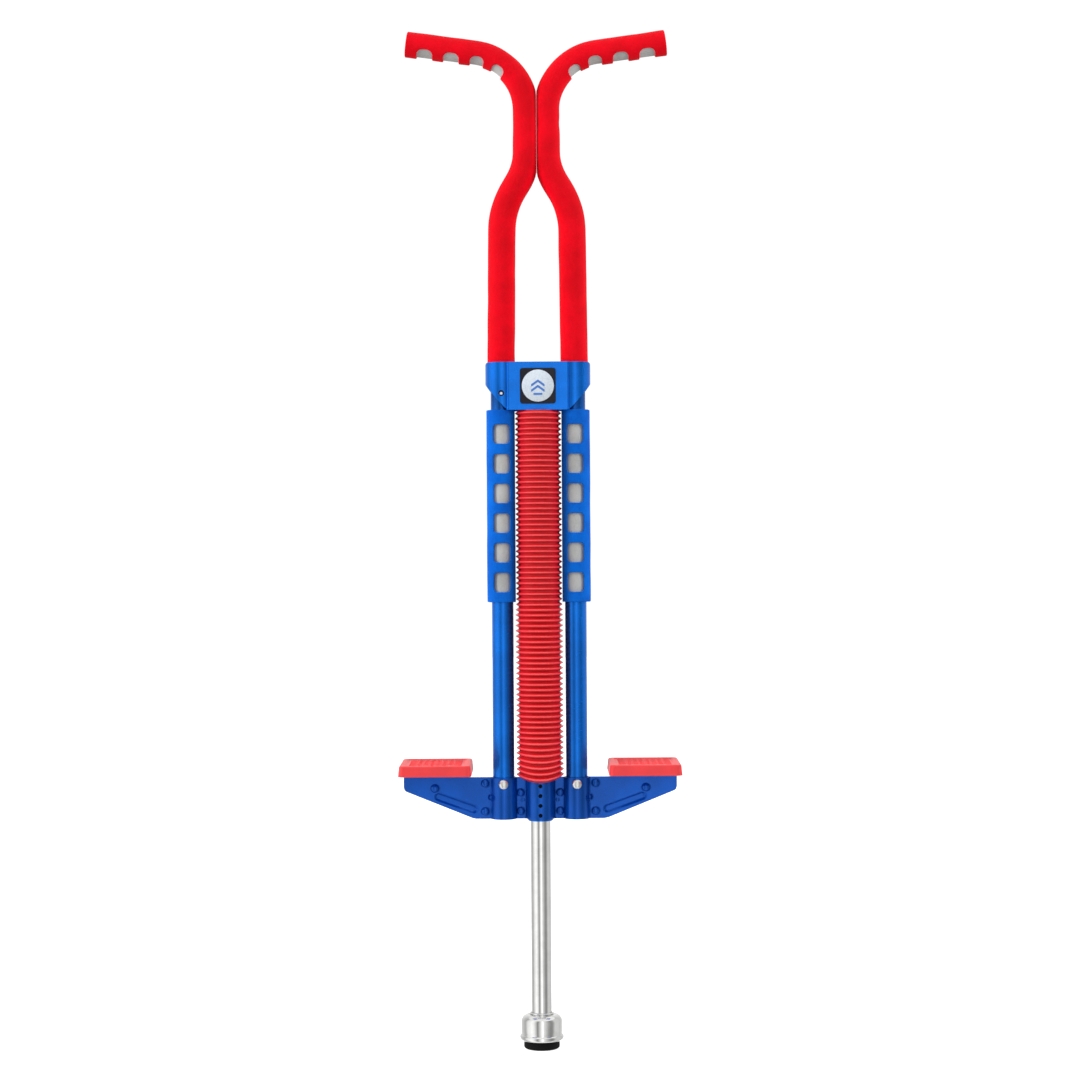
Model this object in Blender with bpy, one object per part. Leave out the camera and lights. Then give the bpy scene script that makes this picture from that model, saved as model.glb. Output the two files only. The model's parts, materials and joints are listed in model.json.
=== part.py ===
"""Pogo stick: a two-tube frame with bent foam-covered handles, a covered spring, a foot bracket, a plunger.

Metres, +Z up. The origin is on the ground under the rubber tip, X runs across the pedals, the front faces -Y.
The plunger slides up the Z axis against the spring and turns freely about the same axis.
"""

import math

import bmesh
import bpy
from mathutils import Matrix, Vector

# Clearances
GAP = 0.0003  # between pieces that touch or hold each other
BORE_GAP = 0.0003  # all round the plunger in its bushing, bumper and washer
HOLE_CLEARANCE = 0.0004  # all round a screw, bolt, pin or rivet

# Frame tubes
TUBE_RADIUS = 0.011
TUBE_WALL = 0.0012
TUBE_PLUG_DEPTH = 0.09  # of handle tube inside each frame tube

# Heights, from the ground up
TIP_STANDOUT = 0.007  # rubber that shows below the cup
CUP_HEIGHT = 0.0276
PLUNGER_SHOWING = 0.1993  # between the cup and the foot plates
PLATE_HEIGHT = 0.0423
COVER_LENGTH = 0.3722
CROWN_THICKNESS = 0.0015
BRACKET_HEIGHT = 0.0477

# Handles, heights measured up from the bracket's top edge
HANDLE_WALL = 0.0012
LOWER_BEND_RISE = 0.1566
UPPER_BEND_RISE = 0.1979
GRIP_BEND_RISE = 0.3089
LOWER_BEND_INSET = 0.0017  # how far the uprights lean in below the lower bend
LOWER_BEND_RADIUS = 0.079
UPPER_BEND_RADIUS = 0.061
GRIP_BEND_RADIUS = 0.0594
SET_RADIUS = 0.2  # of the slight bend where the handle leaves the bracket
GRIP_REACH = 0.1322  # from the mid-plane to the end of the handle tube
GRIP_SLOPE = math.radians(7.7)
TOUCH_FOAM = 0.0009  # room for foam between the handle tube and the mid-plane
TOUCH_GAP = 0.00015  # from the mid-plane to each foam's pressed face

# Foam on the handles
FOAM_WALL = 0.0042
GRIP_FOAM_WALL = 0.0015  # over the core
FOAM_TUCK = 0.0085  # of foam inside the bracket
CORE_WALL = 0.0014
CORE_LENGTH = 0.124
CORE_INSET = 0.004  # from the handle's end to the core
GRIP_WINDOW = 0.016
GRIP_WINDOW_PITCH = 0.0273
GRIP_WINDOW_FIRST = 0.0202  # from the handle's end to the middle of the first window
GRIP_WINDOWS = 4
GRIP_WINDOW_DROP = 0.005  # from the tube's centre down to the window's top edge

# Foam pads on the frame tubes
PAD_WALL = 0.0026
PRESSED_FOAM = 0.00055  # foam left between a pad's core and the spring cover
PAD_LENGTH = 0.1955
PAD_TOP_DROP = 0.0006  # from the bracket's bottom edge
PAD_CORE_WALL = 0.0013
PAD_WINDOWS = 6
PAD_WINDOW_WIDTH = 0.0174
PAD_WINDOW_HEIGHT = 0.0197
PAD_WINDOW_PITCH = 0.03014
PAD_WINDOW_FIRST = 0.0247  # from the pad's top to the middle of the first window

# Plunger
TRAVEL = 0.13
HEADROOM = 0.0587  # from the plunger's cap to the crown's pilot at full travel
PLUNGER_RADIUS = 0.0103
PLUNGER_WALL = 0.0015
BUSHING_WALL = 0.001
SLEEVE_WALL = 0.00085
SLEEVE_PROUD = 0.002  # beyond the plates, at each end
BUMPER_WALL = 0.0054
BUMPER_HEIGHT = 0.010
PIN_RADIUS = 0.0028
PIN_INSET = 0.0013  # from the washer's rim

# Spring
WIRE_RADIUS = 0.0022
COIL_CLEARANCE = 0.0029  # between the plunger and the coils
COILS = 26
WASHER_RIM = 0.0007  # beyond the coils
WASHER_THICKNESS = 0.003
PILOT_CLEARANCE = 0.002  # inside the top coil
PILOT_WALL = 0.002
PILOT_HEIGHT = 0.007
CROWN_INSET = 0.0015  # from the cover's squeezed ridges

# Spring cover
COVER_CLEARANCE = 0.0018  # round the washer
COVER_SQUEEZE = 0.0008  # less radius between the pads
RIDGE_DEPTH = 0.0034
RIDGES = 69
COVER_WALL = 0.0008

# Upper bracket
SHELL_THICKNESS = 0.0018
SHELL_GAP = 0.0005  # between the foam and the shells
PANEL_INSET = 0.00685  # from a tube's centre to the panel's edge
PANEL_RISE = 0.0009  # in front of the rounded ends
PANEL_STEP = 0.0012  # width of the step at the panel's edge
CORNER_CUT = 0.025  # height of each sloping lower corner
SCREW_RISE = 0.016  # from the bracket's bottom edge
BRACKET_SCREW_SHANK = 0.0015
BRACKET_SCREW_HEAD = 0.0026
COLLAR_RISE = 0.0071  # above the screw's head

# Badge
BADGE_SIZE = 0.0362
BADGE_CORNER = 0.0028
BADGE_THICKNESS = 0.0012
BADGE_DROP = 0.0007  # below the bracket's middle
DISC_RADIUS = 0.0162
DISC_THICKNESS = 0.0007

# Foot plates
SHEET = 0.0016
PLATE_OVERHANG = 0.0037  # of each pedal beyond the plates
PLATE_FLAT_INSET = 0.0019  # from a pedal's inner edge to where the bottom edge turns up
PLATE_END_HEIGHT = 0.0133  # of the upright ends
PLATE_CORNER = 0.005
LUBE_HOLE_RADIUS = 0.0021
LUBE_HOLES = 4
LUBE_FIRST = 0.0042  # from the plates' bottom edge
LUBE_LAST = 0.00831  # from the plates' top edge

# Rivets: out from the nearest tube channel, or in from the plates' ends, and from the nearer edge
INNER_RIVET_IN = 0.00425
INNER_RIVET_DROP = 0.0157
INNER_RIVET_RISE = 0.0078
OUTER_RIVET_OUT = 0.00605
OUTER_RIVET_DROP = 0.0063
OUTER_RIVET_RISE = 0.0076
END_RIVET_IN = 0.0316
END_RIVET_DROP = 0.011
RIVET_SHANK = 0.002
RIVET_HEAD = 0.0037
RIVET_DOME = 0.0018

# Tube bolts
BOLT_DROP = 0.0065  # from the plates' top edge
BOLT_SHANK = 0.0028
BOLT_HEAD = 0.005
BOLT_DOME = 0.003
NUT_RADIUS = 0.0056
NUT_HEIGHT = 0.004

# Pedals
PEDAL_OUT = 0.03195  # from a tube's centre to the pedal
PEDAL_LENGTH = 0.0737
PEDAL_DEPTH = 0.088
PEDAL_SKIRT_RISE = 0.0044  # of the skirt's edge above the plates
TREAD_HEIGHT = 0.011
TREAD_WALL = 0.003
TREAD_TOP = 0.0043
TREAD_RECESS = 0.001
TREAD_RIM = 0.0065
TREAD_DRAFT = 0.0012
TREAD_CORNER = 0.006
PLATFORM_THICKNESS = 0.003
PLATFORM_MARGIN = 0.0012
PEDAL_SCREW_OFFSET = 0.025
PEDAL_SCREW_SHANK = 0.0018
PEDAL_SCREW_HEAD = 0.0036
PEDAL_SCREW_HEAD_HEIGHT = 0.0018
PEDAL_SCREW_COVER = 0.0007  # of tread left above each screw

# Cup, neck ring and rubber tip
NECK_RING_WALL = 0.0018
NECK_RING_HEIGHT = 0.0016
CUP_LIP_INSET = 0.0004  # from the neck ring's edge
CUP_SHOULDER = 0.0089
FLANGE_PROUD = 0.00155  # beyond the cup's wall
FLANGE_RISE = 0.0045  # from the cup's bottom edge to the bead's middle
FLANGE_BEAD = 0.0035
RUBBER_INSET = 0.0042  # from the flange's edge
RUBBER_EDGE = 0.0025
RUBBER_PLUG_INSET = 0.00495  # from the cup's wall
RUBBER_PLUG_HEIGHT = 0.015

# Facets
SIDES = 18
SLEEVE_SIDES = 12  # every sleeve along a handle, so that they nest
SMALL_SIDES = 10
HOLE_SIDES = 8
CHANNEL_STEPS = 8  # facets across a pressed channel
BEND_STEP = math.radians(12)

# Radii, worked out from the middle outwards
PLUNGER_BORE = PLUNGER_RADIUS + BORE_GAP
BUSHING_RADIUS = PLUNGER_BORE + BUSHING_WALL
SLEEVE_RADIUS = BUSHING_RADIUS + GAP + SLEEVE_WALL
BUMPER_RADIUS = PLUNGER_BORE + BUMPER_WALL
COIL_RADIUS = PLUNGER_RADIUS + COIL_CLEARANCE + WIRE_RADIUS
WASHER_RADIUS = COIL_RADIUS + WIRE_RADIUS + WASHER_RIM
PILOT_RADIUS = COIL_RADIUS - WIRE_RADIUS - PILOT_CLEARANCE
COVER_BORE = WASHER_RADIUS + COVER_CLEARANCE
COVER_ROOT = COVER_BORE + COVER_WALL
COVER_RADIUS = COVER_ROOT + RIDGE_DEPTH
SQUEEZED_RADIUS = COVER_RADIUS - COVER_SQUEEZE
CROWN_RADIUS = SQUEEZED_RADIUS - CROWN_INSET
HANDLE_RADIUS = TUBE_RADIUS - TUBE_WALL - GAP
HANDLE_BORE = HANDLE_RADIUS - HANDLE_WALL
CORE_RADIUS = HANDLE_RADIUS + GAP + CORE_WALL
FOAM_RADIUS = HANDLE_RADIUS + GAP + FOAM_WALL
GRIP_RADIUS = CORE_RADIUS + GAP + GRIP_FOAM_WALL
PAD_CORE_RADIUS = TUBE_RADIUS + GAP + PAD_CORE_WALL
PAD_BORE = PAD_CORE_RADIUS + GAP
PAD_RADIUS = PAD_BORE + PAD_WALL
TUBE_CHANNEL = TUBE_RADIUS + GAP + SHEET / 2
SLEEVE_CHANNEL = SLEEVE_RADIUS + GAP + SHEET / 2
NECK_RING_RADIUS = PLUNGER_BORE + NECK_RING_WALL
CUP_LIP = NECK_RING_RADIUS - CUP_LIP_INSET
CUP_RADIUS = CUP_LIP + CUP_SHOULDER
CUP_FLANGE = CUP_RADIUS + FLANGE_PROUD
RUBBER_RADIUS = CUP_FLANGE - RUBBER_INSET
RUBBER_PLUG_RADIUS = CUP_RADIUS - RUBBER_PLUG_INSET

# Places across the stick
HALF_SPACING = SQUEEZED_RADIUS + GAP + PRESSED_FOAM + PAD_BORE  # from the middle to a frame tube's centre
TOUCH_OFFSET = HANDLE_RADIUS + TOUCH_FOAM
SHELL_MIDDLE = FOAM_RADIUS + SHELL_GAP + SHELL_THICKNESS / 2
PANEL_HALF_WIDTH = HALF_SPACING - PANEL_INSET
PANEL_MIDDLE = SHELL_MIDDLE + PANEL_RISE
PANEL_FRONT = PANEL_MIDDLE + SHELL_THICKNESS / 2
CHANNEL_EDGE = TUBE_CHANNEL + SHEET / 2  # from a tube's centre
PEDAL_INNER = HALF_SPACING + PEDAL_OUT
PEDAL_MIDDLE = PEDAL_INNER + PEDAL_LENGTH / 2
PLATE_HALF_WIDTH = PEDAL_INNER + PEDAL_LENGTH - PLATE_OVERHANG
PLATE_FLAT_HALF = PEDAL_INNER - PLATE_FLAT_INSET
PLATE_MIDDLE = GAP / 2 + SHEET / 2

# Heights
CUP_TOP = TIP_STANDOUT + CUP_HEIGHT
PLATE_BOTTOM = CUP_TOP + PLUNGER_SHOWING
PLATE_TOP = PLATE_BOTTOM + PLATE_HEIGHT
COVER_BOTTOM = PLATE_TOP + GAP
COVER_TOP = COVER_BOTTOM + COVER_LENGTH
CROWN_BOTTOM = COVER_TOP + GAP
CROWN_TOP = CROWN_BOTTOM + CROWN_THICKNESS
BRACKET_BOTTOM = CROWN_TOP + GAP
BRACKET_TOP = BRACKET_BOTTOM + BRACKET_HEIGHT
SCREW_HEIGHT = BRACKET_BOTTOM + SCREW_RISE
FOAM_BOTTOM = BRACKET_TOP - FOAM_TUCK
TUBE_TOP = FOAM_BOTTOM - 2 * GAP
PAD_TOP = BRACKET_BOTTOM - PAD_TOP_DROP
PAD_BOTTOM = PAD_TOP - PAD_LENGTH
BOLT_HEIGHT = PLATE_TOP - BOLT_DROP
SLEEVE_TOP = PLATE_TOP + SLEEVE_PROUD
SLEEVE_BOTTOM = PLATE_BOTTOM - SLEEVE_PROUD
BUMPER_BOTTOM = SLEEVE_TOP + GAP
PIN_HEIGHT = BUMPER_BOTTOM + BUMPER_HEIGHT + GAP + PIN_RADIUS
WASHER_BOTTOM = PIN_HEIGHT + PIN_RADIUS + GAP
SPRING_BOTTOM = WASHER_BOTTOM + WASHER_THICKNESS + GAP
SPRING_TOP = CROWN_BOTTOM - GAP
PILOT_BOTTOM = CROWN_BOTTOM - PILOT_HEIGHT
PLUNGER_BOTTOM = TIP_STANDOUT + RUBBER_PLUG_HEIGHT + 2 * GAP
PLUNGER_TOP = PILOT_BOTTOM - TRAVEL - HEADROOM
SKIRT_BOTTOM = PLATE_TOP + PEDAL_SKIRT_RISE
TREAD_CEILING = SKIRT_BOTTOM + TREAD_HEIGHT - TREAD_TOP
PLATFORM_TOP = TREAD_CEILING - GAP
PLATFORM_BOTTOM = PLATFORM_TOP - PLATFORM_THICKNESS
TAB_TOP = PLATFORM_BOTTOM - GAP
PEDAL_SCREW_TIP = TREAD_CEILING + TREAD_TOP - TREAD_RECESS - PEDAL_SCREW_COVER

RIGHT, LEFT = 1, -1
SIDE_NAMES = {RIGHT: "right", LEFT: "left"}


def finish(name, color, roughness, metallic=0.0):
    """A material with the part's plain colour."""
    material = bpy.data.materials.new(name)
    material.use_nodes = True
    shader = material.node_tree.nodes["Principled BSDF"]
    shader.inputs["Base Color"].default_value = (*color, 1.0)
    shader.inputs["Roughness"].default_value = roughness
    shader.inputs["Metallic"].default_value = metallic
    return material


# Shapes


def add_loft(form, rings, closed=False):
    """Skin a row of equal rings. Closed joins the last to the first; otherwise both ends are capped."""
    rows = [[form.verts.new(point) for point in ring] for ring in rings]
    pairs = list(zip(rows, rows[1:]))
    faces = []
    if closed:
        pairs.append((rows[-1], rows[0]))
    else:
        faces += [form.faces.new(rows[0]), form.faces.new(rows[-1])]
    for lower, upper in pairs:
        for i, start in enumerate(lower):
            j = (i + 1) % len(lower)
            faces.append(form.faces.new((start, lower[j], upper[j], upper[i])))
    bmesh.ops.recalc_face_normals(form, faces=faces)


def circle(radius, height, sides=SIDES, centre=(0.0, 0.0)):
    """A level ring of points."""
    turns = [2 * math.pi * k / sides for k in range(sides)]
    return [
        Vector((centre[0] + radius * math.cos(t), centre[1] + radius * math.sin(t), height)) for t in turns
    ]


def rounded_rectangle(width, depth, corner, height, centre=(0.0, 0.0), steps=3):
    """A level ring round a rectangle with rounded corners."""
    points = []
    for quarter, (sx, sy) in enumerate(((1, 1), (-1, 1), (-1, -1), (1, -1))):
        for k in range(steps + 1):
            turn = math.pi / 2 * (quarter + k / steps)
            x = centre[0] + sx * (width / 2 - corner) + corner * math.cos(turn)
            y = centre[1] + sy * (depth / 2 - corner) + corner * math.sin(turn)
            points.append(Vector((x, y, height)))
    return points


def arc(centre, radius, start, end, steps):
    """Points of an arc in a plane, angles in degrees."""
    turns = [math.radians(start + (end - start) * k / steps) for k in range(steps + 1)]
    return [Vector((centre[0] + radius * math.cos(t), centre[1] + radius * math.sin(t))) for t in turns]


def filleted(corners, radii):
    """Round each inner corner of a plane polyline with an arc of its own radius."""
    points = [Vector(corners[0])]
    for before, corner, after, radius in zip(corners, corners[1:], corners[2:], radii):
        corner = Vector(corner)
        into = (corner - Vector(before)).normalized()
        out = (Vector(after) - corner).normalized()
        turn = math.atan2(into.cross(out), into.dot(out))
        start = corner - into * radius * math.tan(abs(turn) / 2)
        centre = start + Vector((-into.y, into.x)) * math.copysign(radius, turn)
        steps = max(1, round(abs(turn) / BEND_STEP))
        for k in range(steps + 1):
            points.append(centre + Matrix.Rotation(turn * k / steps, 2) @ (start - centre))
    points.append(Vector(corners[-1]))
    return points


def ribbon(middle, thickness):
    """The outline of a sheet that follows a line through its thickness."""
    sides = ([], [])
    for i, point in enumerate(middle):
        before = (point - middle[i - 1]).normalized() if i else None
        after = (middle[i + 1] - point).normalized() if i + 1 < len(middle) else None
        into, out = before or after, after or before
        normal = Vector((-into.y - out.y, into.x + out.x)).normalized()
        reach = thickness / 2 / normal.dot(Vector((-into.y, into.x)))
        sides[0].append(point + normal * reach)
        sides[1].append(point - normal * reach)
    return sides[0] + sides[1][::-1]


def raised(outline, height):
    """A plane outline as a level ring."""
    return [Vector((point.x, point.y, height)) for point in outline]


def facing(outline, depth):
    """A plane outline in XZ as an upright ring."""
    return [Vector((point[0], depth, point[1])) for point in outline]


# Objects


def add_object(name, form, material, parent=None, location=(0, 0, 0), rotation=(0, 0, 0)):
    """Make an object of a finished form."""
    mesh = bpy.data.meshes.new(name)
    form.to_mesh(mesh)
    form.free()
    obj = bpy.data.objects.new(name, mesh)
    bpy.context.scene.collection.objects.link(obj)
    obj.location = location
    obj.rotation_euler = rotation
    obj.parent = parent
    if material:
        mesh.materials.append(material)
        mesh.shade_smooth()
        mesh.set_sharp_from_angle(angle=math.radians(38))
    return obj


def loft(name, rings, material, closed=False, **place):
    """One object from one loft."""
    form = bmesh.new()
    add_loft(form, rings, closed)
    return add_object(name, form, material, **place)


def turned(name, profile, material, sides=SIDES, **place):
    """A solid of revolution about Z, from (radius, height) points at both ends of which it is capped."""
    return loft(name, [circle(r, z, sides) for r, z in profile], material, **place)


def turned_ring(name, profile, material, sides=SIDES, **place):
    """A ring about Z, from a closed outline of (radius, height) points that stays off the axis."""
    return loft(name, [circle(r, z, sides) for r, z in profile], material, closed=True, **place)


def pipe(name, outer, inner, bottom, top, material, sides=SIDES, **place):
    """A straight tube."""
    corners = ((outer, bottom), (outer, top), (inner, top), (inner, bottom))
    return turned_ring(name, corners, material, sides, **place)


def cut(target, cutter_rings, operation="DIFFERENCE"):
    """Cut a solid with closed bodies, each given as its rings, held in one hidden object."""
    form = bmesh.new()
    for rings in cutter_rings:
        add_loft(form, rings)
    cutter = add_object(f"{target.name}_{operation.lower()}_tool", form, None)
    cutter.display_type = "WIRE"
    cutter.hide_render = True
    modifier = target.modifiers.new(operation.title(), "BOOLEAN")
    modifier.object = cutter
    modifier.operation = operation
    modifier.solver = "EXACT"


def drill(x, z, radius, start, end, sides=HOLE_SIDES):
    """A round cutter along Y."""
    ring = arc((x, z), radius, 0, 360 - 360 / sides, sides - 1)
    return [facing(ring, start), facing(ring, end)]


def block(low, high):
    """A box cutter."""
    corners = ((low[0], low[1]), (high[0], low[1]), (high[0], high[1]), (low[0], high[1]))
    return [[Vector((x, y, z)) for x, y in corners] for z in (low[2], high[2])]


# The handles' path


def handle_path():
    """The right handle's centreline in XZ, from inside the frame tube to the end of the grip."""
    lean = HALF_SPACING - LOWER_BEND_INSET
    bend_height = BRACKET_TOP + GRIP_BEND_RISE
    corners = (
        (HALF_SPACING, TUBE_TOP - TUBE_PLUG_DEPTH),
        (HALF_SPACING, BRACKET_TOP),
        (lean, BRACKET_TOP + LOWER_BEND_RISE),
        (TOUCH_OFFSET, BRACKET_TOP + UPPER_BEND_RISE),
        (TOUCH_OFFSET, bend_height),
        (GRIP_REACH, bend_height + (GRIP_REACH - TOUCH_OFFSET) * math.tan(GRIP_SLOPE)),
    )
    return filleted(corners, (SET_RADIUS, LOWER_BEND_RADIUS, UPPER_BEND_RADIUS, GRIP_BEND_RADIUS))


def distances(path):
    """How far along the path each of its points lies."""
    run = [0.0]
    for here, there in zip(path, path[1:]):
        run.append(run[-1] + (there - here).length)
    return run


def spot(path, distance):
    """The point at a distance along the path, which runs on straight past its ends."""
    run = distances(path)
    i = next((k for k in range(1, len(run) - 1) if run[k] >= distance), len(run) - 1)
    share = (distance - run[i - 1]) / (run[i] - run[i - 1])
    return path[i - 1].lerp(path[i], share)


def heading(path, distance, reach=0.005):
    """The path's direction at a distance along it."""
    return (spot(path, distance + reach) - spot(path, distance - reach)).normalized()


def path_ring(path, distance, radius, side, sides):
    """A ring square to the path, pressed flat where it would cross the mid-plane."""
    point = spot(path, distance)
    direction = heading(path, distance)
    ring = []
    for k in range(sides):
        turn = 2 * math.pi * k / sides
        out = radius * math.cos(turn)
        x = max(point.x + direction.y * out, TOUCH_GAP)
        ring.append(Vector((side * x, radius * math.sin(turn), point.y - direction.x * out)))
    return ring


def sleeve(name, path, side, stretch, outer, inner, material, sides, extra=(), **place):
    """A hollow sleeve along part of the path, whose radii are functions of the distance."""
    start, end = stretch
    between = [d for d in [*distances(path), *extra] if start + GAP < d < end - GAP]
    stations = [start, *sorted(between), end]
    rings = [path_ring(path, d, outer(d), side, sides) for d in stations]
    rings += [path_ring(path, d, inner(d), side, sides) for d in reversed(stations)]
    return loft(name, rings, material, closed=True, **place)


def blend_value(value, start, end, first, last):
    """Move from first to last as value goes from start to end."""
    share = min(1.0, max(0.0, (value - start) / (end - start)))
    return first + (last - first) * share


# Frame


def make_frame_tube(side, parent, steel):
    tube = pipe(
        f"frame_tube_{SIDE_NAMES[side]}",
        TUBE_RADIUS,
        TUBE_RADIUS - TUBE_WALL,
        PLATE_BOTTOM,
        TUBE_TOP,
        steel,
        location=(side * HALF_SPACING, 0, 0),
        parent=parent,
    )
    x = side * HALF_SPACING
    bolt_hole = BOLT_SHANK + HOLE_CLEARANCE
    cut(tube, [drill(x, BOLT_HEIGHT, bolt_hole, -0.03, 0.03), screw_hole(side)])


def screw_hole(side, radius=BRACKET_SCREW_SHANK + HOLE_CLEARANCE):
    """The bracket screw's hole: at the front of the left tubes and at the rear of the right ones."""
    return drill(side * HALF_SPACING, SCREW_HEIGHT, radius, 0, side * 0.03)


def make_handle(side, parent, path, finishes):
    """A bent handle tube with its end plug, the grey core of the grip and the foam sleeve."""
    name = SIDE_NAMES[side]
    end = distances(path)[-1]
    where = {"parent": parent}
    tube = sleeve(
        f"handle_tube_{name}",
        path,
        side,
        (0.0, end),
        lambda d: HANDLE_RADIUS,
        lambda d: HANDLE_BORE,
        finishes["steel"],
        SLEEVE_SIDES,
        **where,
    )
    cut(tube, [screw_hole(side)])

    core_start = end - CORE_INSET - CORE_LENGTH
    sleeve(
        f"grip_core_{name}",
        path,
        side,
        (core_start, end - CORE_INSET),
        lambda d: CORE_RADIUS,
        lambda d: HANDLE_RADIUS + GAP,
        finishes["grey_foam"],
        SLEEVE_SIDES,
        **where,
    )

    foam_start = TUBE_PLUG_DEPTH + FOAM_BOTTOM - TUBE_TOP
    run = distances(path)
    taper = [run[i] for i, point in enumerate(path) if point.x < TOUCH_OFFSET + GAP]
    foam = sleeve(
        f"grip_foam_{name}",
        path,
        side,
        (foam_start, end),
        lambda d: blend_value(d, taper[0], taper[-1], FOAM_RADIUS, GRIP_RADIUS),
        lambda d: (CORE_RADIUS if d > core_start - 2 * GAP else HANDLE_RADIUS) + GAP,
        finishes["red_foam"],
        SLEEVE_SIDES,
        extra=(core_start - 3 * GAP, core_start - GAP),
        **where,
    )
    cut(foam, [grip_window(path, side, end, k) for k in range(GRIP_WINDOWS)])

    slope = heading(path, end)
    tip = spot(path, end)
    stem = HANDLE_BORE - GAP
    plug = ((stem, -0.014), (stem, -0.0025), (stem - 0.001, -0.0015))
    turned(
        f"handle_plug_{name}",
        plug,
        finishes["black_plastic"],
        SLEEVE_SIDES,
        location=(side * tip.x, 0, tip.y),
        rotation=(0, side * (math.pi / 2 - math.atan2(slope.y, slope.x)), 0),
        **where,
    )


def grip_window(path, side, end, index):
    """A box cutter square to the path that opens the foam's underside."""
    middle = end - GRIP_WINDOW_FIRST - index * GRIP_WINDOW_PITCH
    centre = spot(path, middle)
    along = heading(path, middle)
    down = Vector((along.y, -along.x))
    below = 1.5 * GRIP_RADIUS
    rings = []
    for depth in (-below, below):
        corners = []
        for shift, drop in ((-1, GRIP_WINDOW_DROP), (1, GRIP_WINDOW_DROP), (1, below), (-1, below)):
            point = centre + along * shift * GRIP_WINDOW / 2 + down * drop
            corners.append(Vector((side * point.x, depth, point.y)))
        rings.append(corners)
    return rings


def make_pad(side, parent, finishes):
    """A foam pad over its grey core, pressed flat where it meets the spring cover."""
    name = SIDE_NAMES[side]
    where = {"parent": parent, "location": (side * HALF_SPACING, 0, 0)}
    pipe(
        f"pad_core_{name}",
        PAD_CORE_RADIUS,
        TUBE_RADIUS + GAP,
        PAD_BOTTOM + GAP,
        PAD_TOP - GAP,
        finishes["grey_foam"],
        **where,
    )
    pressed = PAD_BORE + PRESSED_FOAM
    rings = []
    for radius, height in (
        (PAD_RADIUS, PAD_BOTTOM),
        (PAD_RADIUS, PAD_TOP),
        (PAD_BORE, PAD_TOP),
        (PAD_BORE, PAD_BOTTOM),
    ):
        ring = circle(radius, height)
        for point in ring:
            point.x = side * max(point.x, -pressed)
        rings.append(ring)
    foam = loft(f"pad_foam_{name}", rings, finishes["blue_foam"], closed=True, **where)
    windows = []
    for k in range(PAD_WINDOWS):
        middle = PAD_TOP - PAD_WINDOW_FIRST - k * PAD_WINDOW_PITCH
        x = side * HALF_SPACING
        low = (x - PAD_WINDOW_WIDTH / 2, -1.5 * PAD_RADIUS, middle - PAD_WINDOW_HEIGHT / 2)
        high = (x + PAD_WINDOW_WIDTH / 2, -PAD_BORE / 2, middle + PAD_WINDOW_HEIGHT / 2)
        windows.append(block(low, high))
    cut(foam, windows)


def bracket_line():
    """The middle line of a bracket shell, left end to right end, as it bulges to the front."""
    meet = math.degrees(math.asin(GAP / 2 / SHELL_MIDDLE))
    inner = math.degrees(math.acos((PANEL_INSET - PANEL_STEP) / SHELL_MIDDLE))
    left = arc((-HALF_SPACING, 0), SHELL_MIDDLE, 180 + meet, 360 - inner, CHANNEL_STEPS)
    panel = [Vector((-PANEL_HALF_WIDTH, -PANEL_MIDDLE)), Vector((PANEL_HALF_WIDTH, -PANEL_MIDDLE))]
    right = [Vector((-point.x, point.y)) for point in reversed(left)]
    return left + panel + right


def make_bracket(parent, finishes):
    """Front and rear shells round both tubes, a collar in each end, two screws and the badge."""
    shell = ribbon(bracket_line(), SHELL_THICKNESS)
    reach = HALF_SPACING + SHELL_MIDDLE + SHELL_THICKNESS
    flat = PANEL_HALF_WIDTH
    above = BRACKET_TOP + 0.01
    slope = CORNER_CUT / (HALF_SPACING + SHELL_MIDDLE - flat)
    corner = BRACKET_BOTTOM + (reach - flat) * slope
    front_outline = (
        (-reach, above),
        (-reach, corner),
        (-flat, BRACKET_BOTTOM),
        (flat, BRACKET_BOTTOM),
        (reach, corner),
        (reach, above),
    )
    for name, way, screw_side in (("front", 1, LEFT), ("rear", -1, RIGHT)):
        outline = [Vector((point.x, point.y * way)) for point in shell]
        rings = [raised(outline, BRACKET_BOTTOM - 0.001), raised(outline, BRACKET_TOP)]
        piece = loft(f"upper_bracket_{name}", rings, finishes["blue_metal"], parent=parent)
        cut(piece, [[facing(front_outline, -0.03), facing(front_outline, 0.03)]], "INTERSECT")
        cut(piece, [screw_hole(screw_side, BRACKET_SCREW_HEAD + HOLE_CLEARANCE)])
    for side in (LEFT, RIGHT):
        pipe(
            f"tube_collar_{SIDE_NAMES[side]}",
            SHELL_MIDDLE - SHELL_THICKNESS / 2 - GAP,
            TUBE_RADIUS + GAP,
            SCREW_HEIGHT + BRACKET_SCREW_HEAD + COLLAR_RISE,
            TUBE_TOP,
            finishes["black_plastic"],
            parent=parent,
            location=(side * HALF_SPACING, 0, 0),
        )
        make_bracket_screw(side, parent, finishes["steel"])
    make_badge(parent, finishes)


def make_bracket_screw(side, parent, steel):
    """The screw that locks a handle tube in its frame tube."""
    seat = TUBE_RADIUS + GAP
    shank, head = BRACKET_SCREW_SHANK, BRACKET_SCREW_HEAD
    profile = (
        (shank, HANDLE_BORE - 0.001),
        (shank, seat),
        (head, seat),
        (head, seat + 0.0014),
        (head - 0.0012, seat + 0.002),
    )
    turned(
        f"bracket_screw_{SIDE_NAMES[side]}",
        profile,
        steel,
        SMALL_SIDES,
        parent=parent,
        location=(side * HALF_SPACING, 0, SCREW_HEIGHT),
        rotation=(-side * math.pi / 2, 0, 0),
    )


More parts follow.
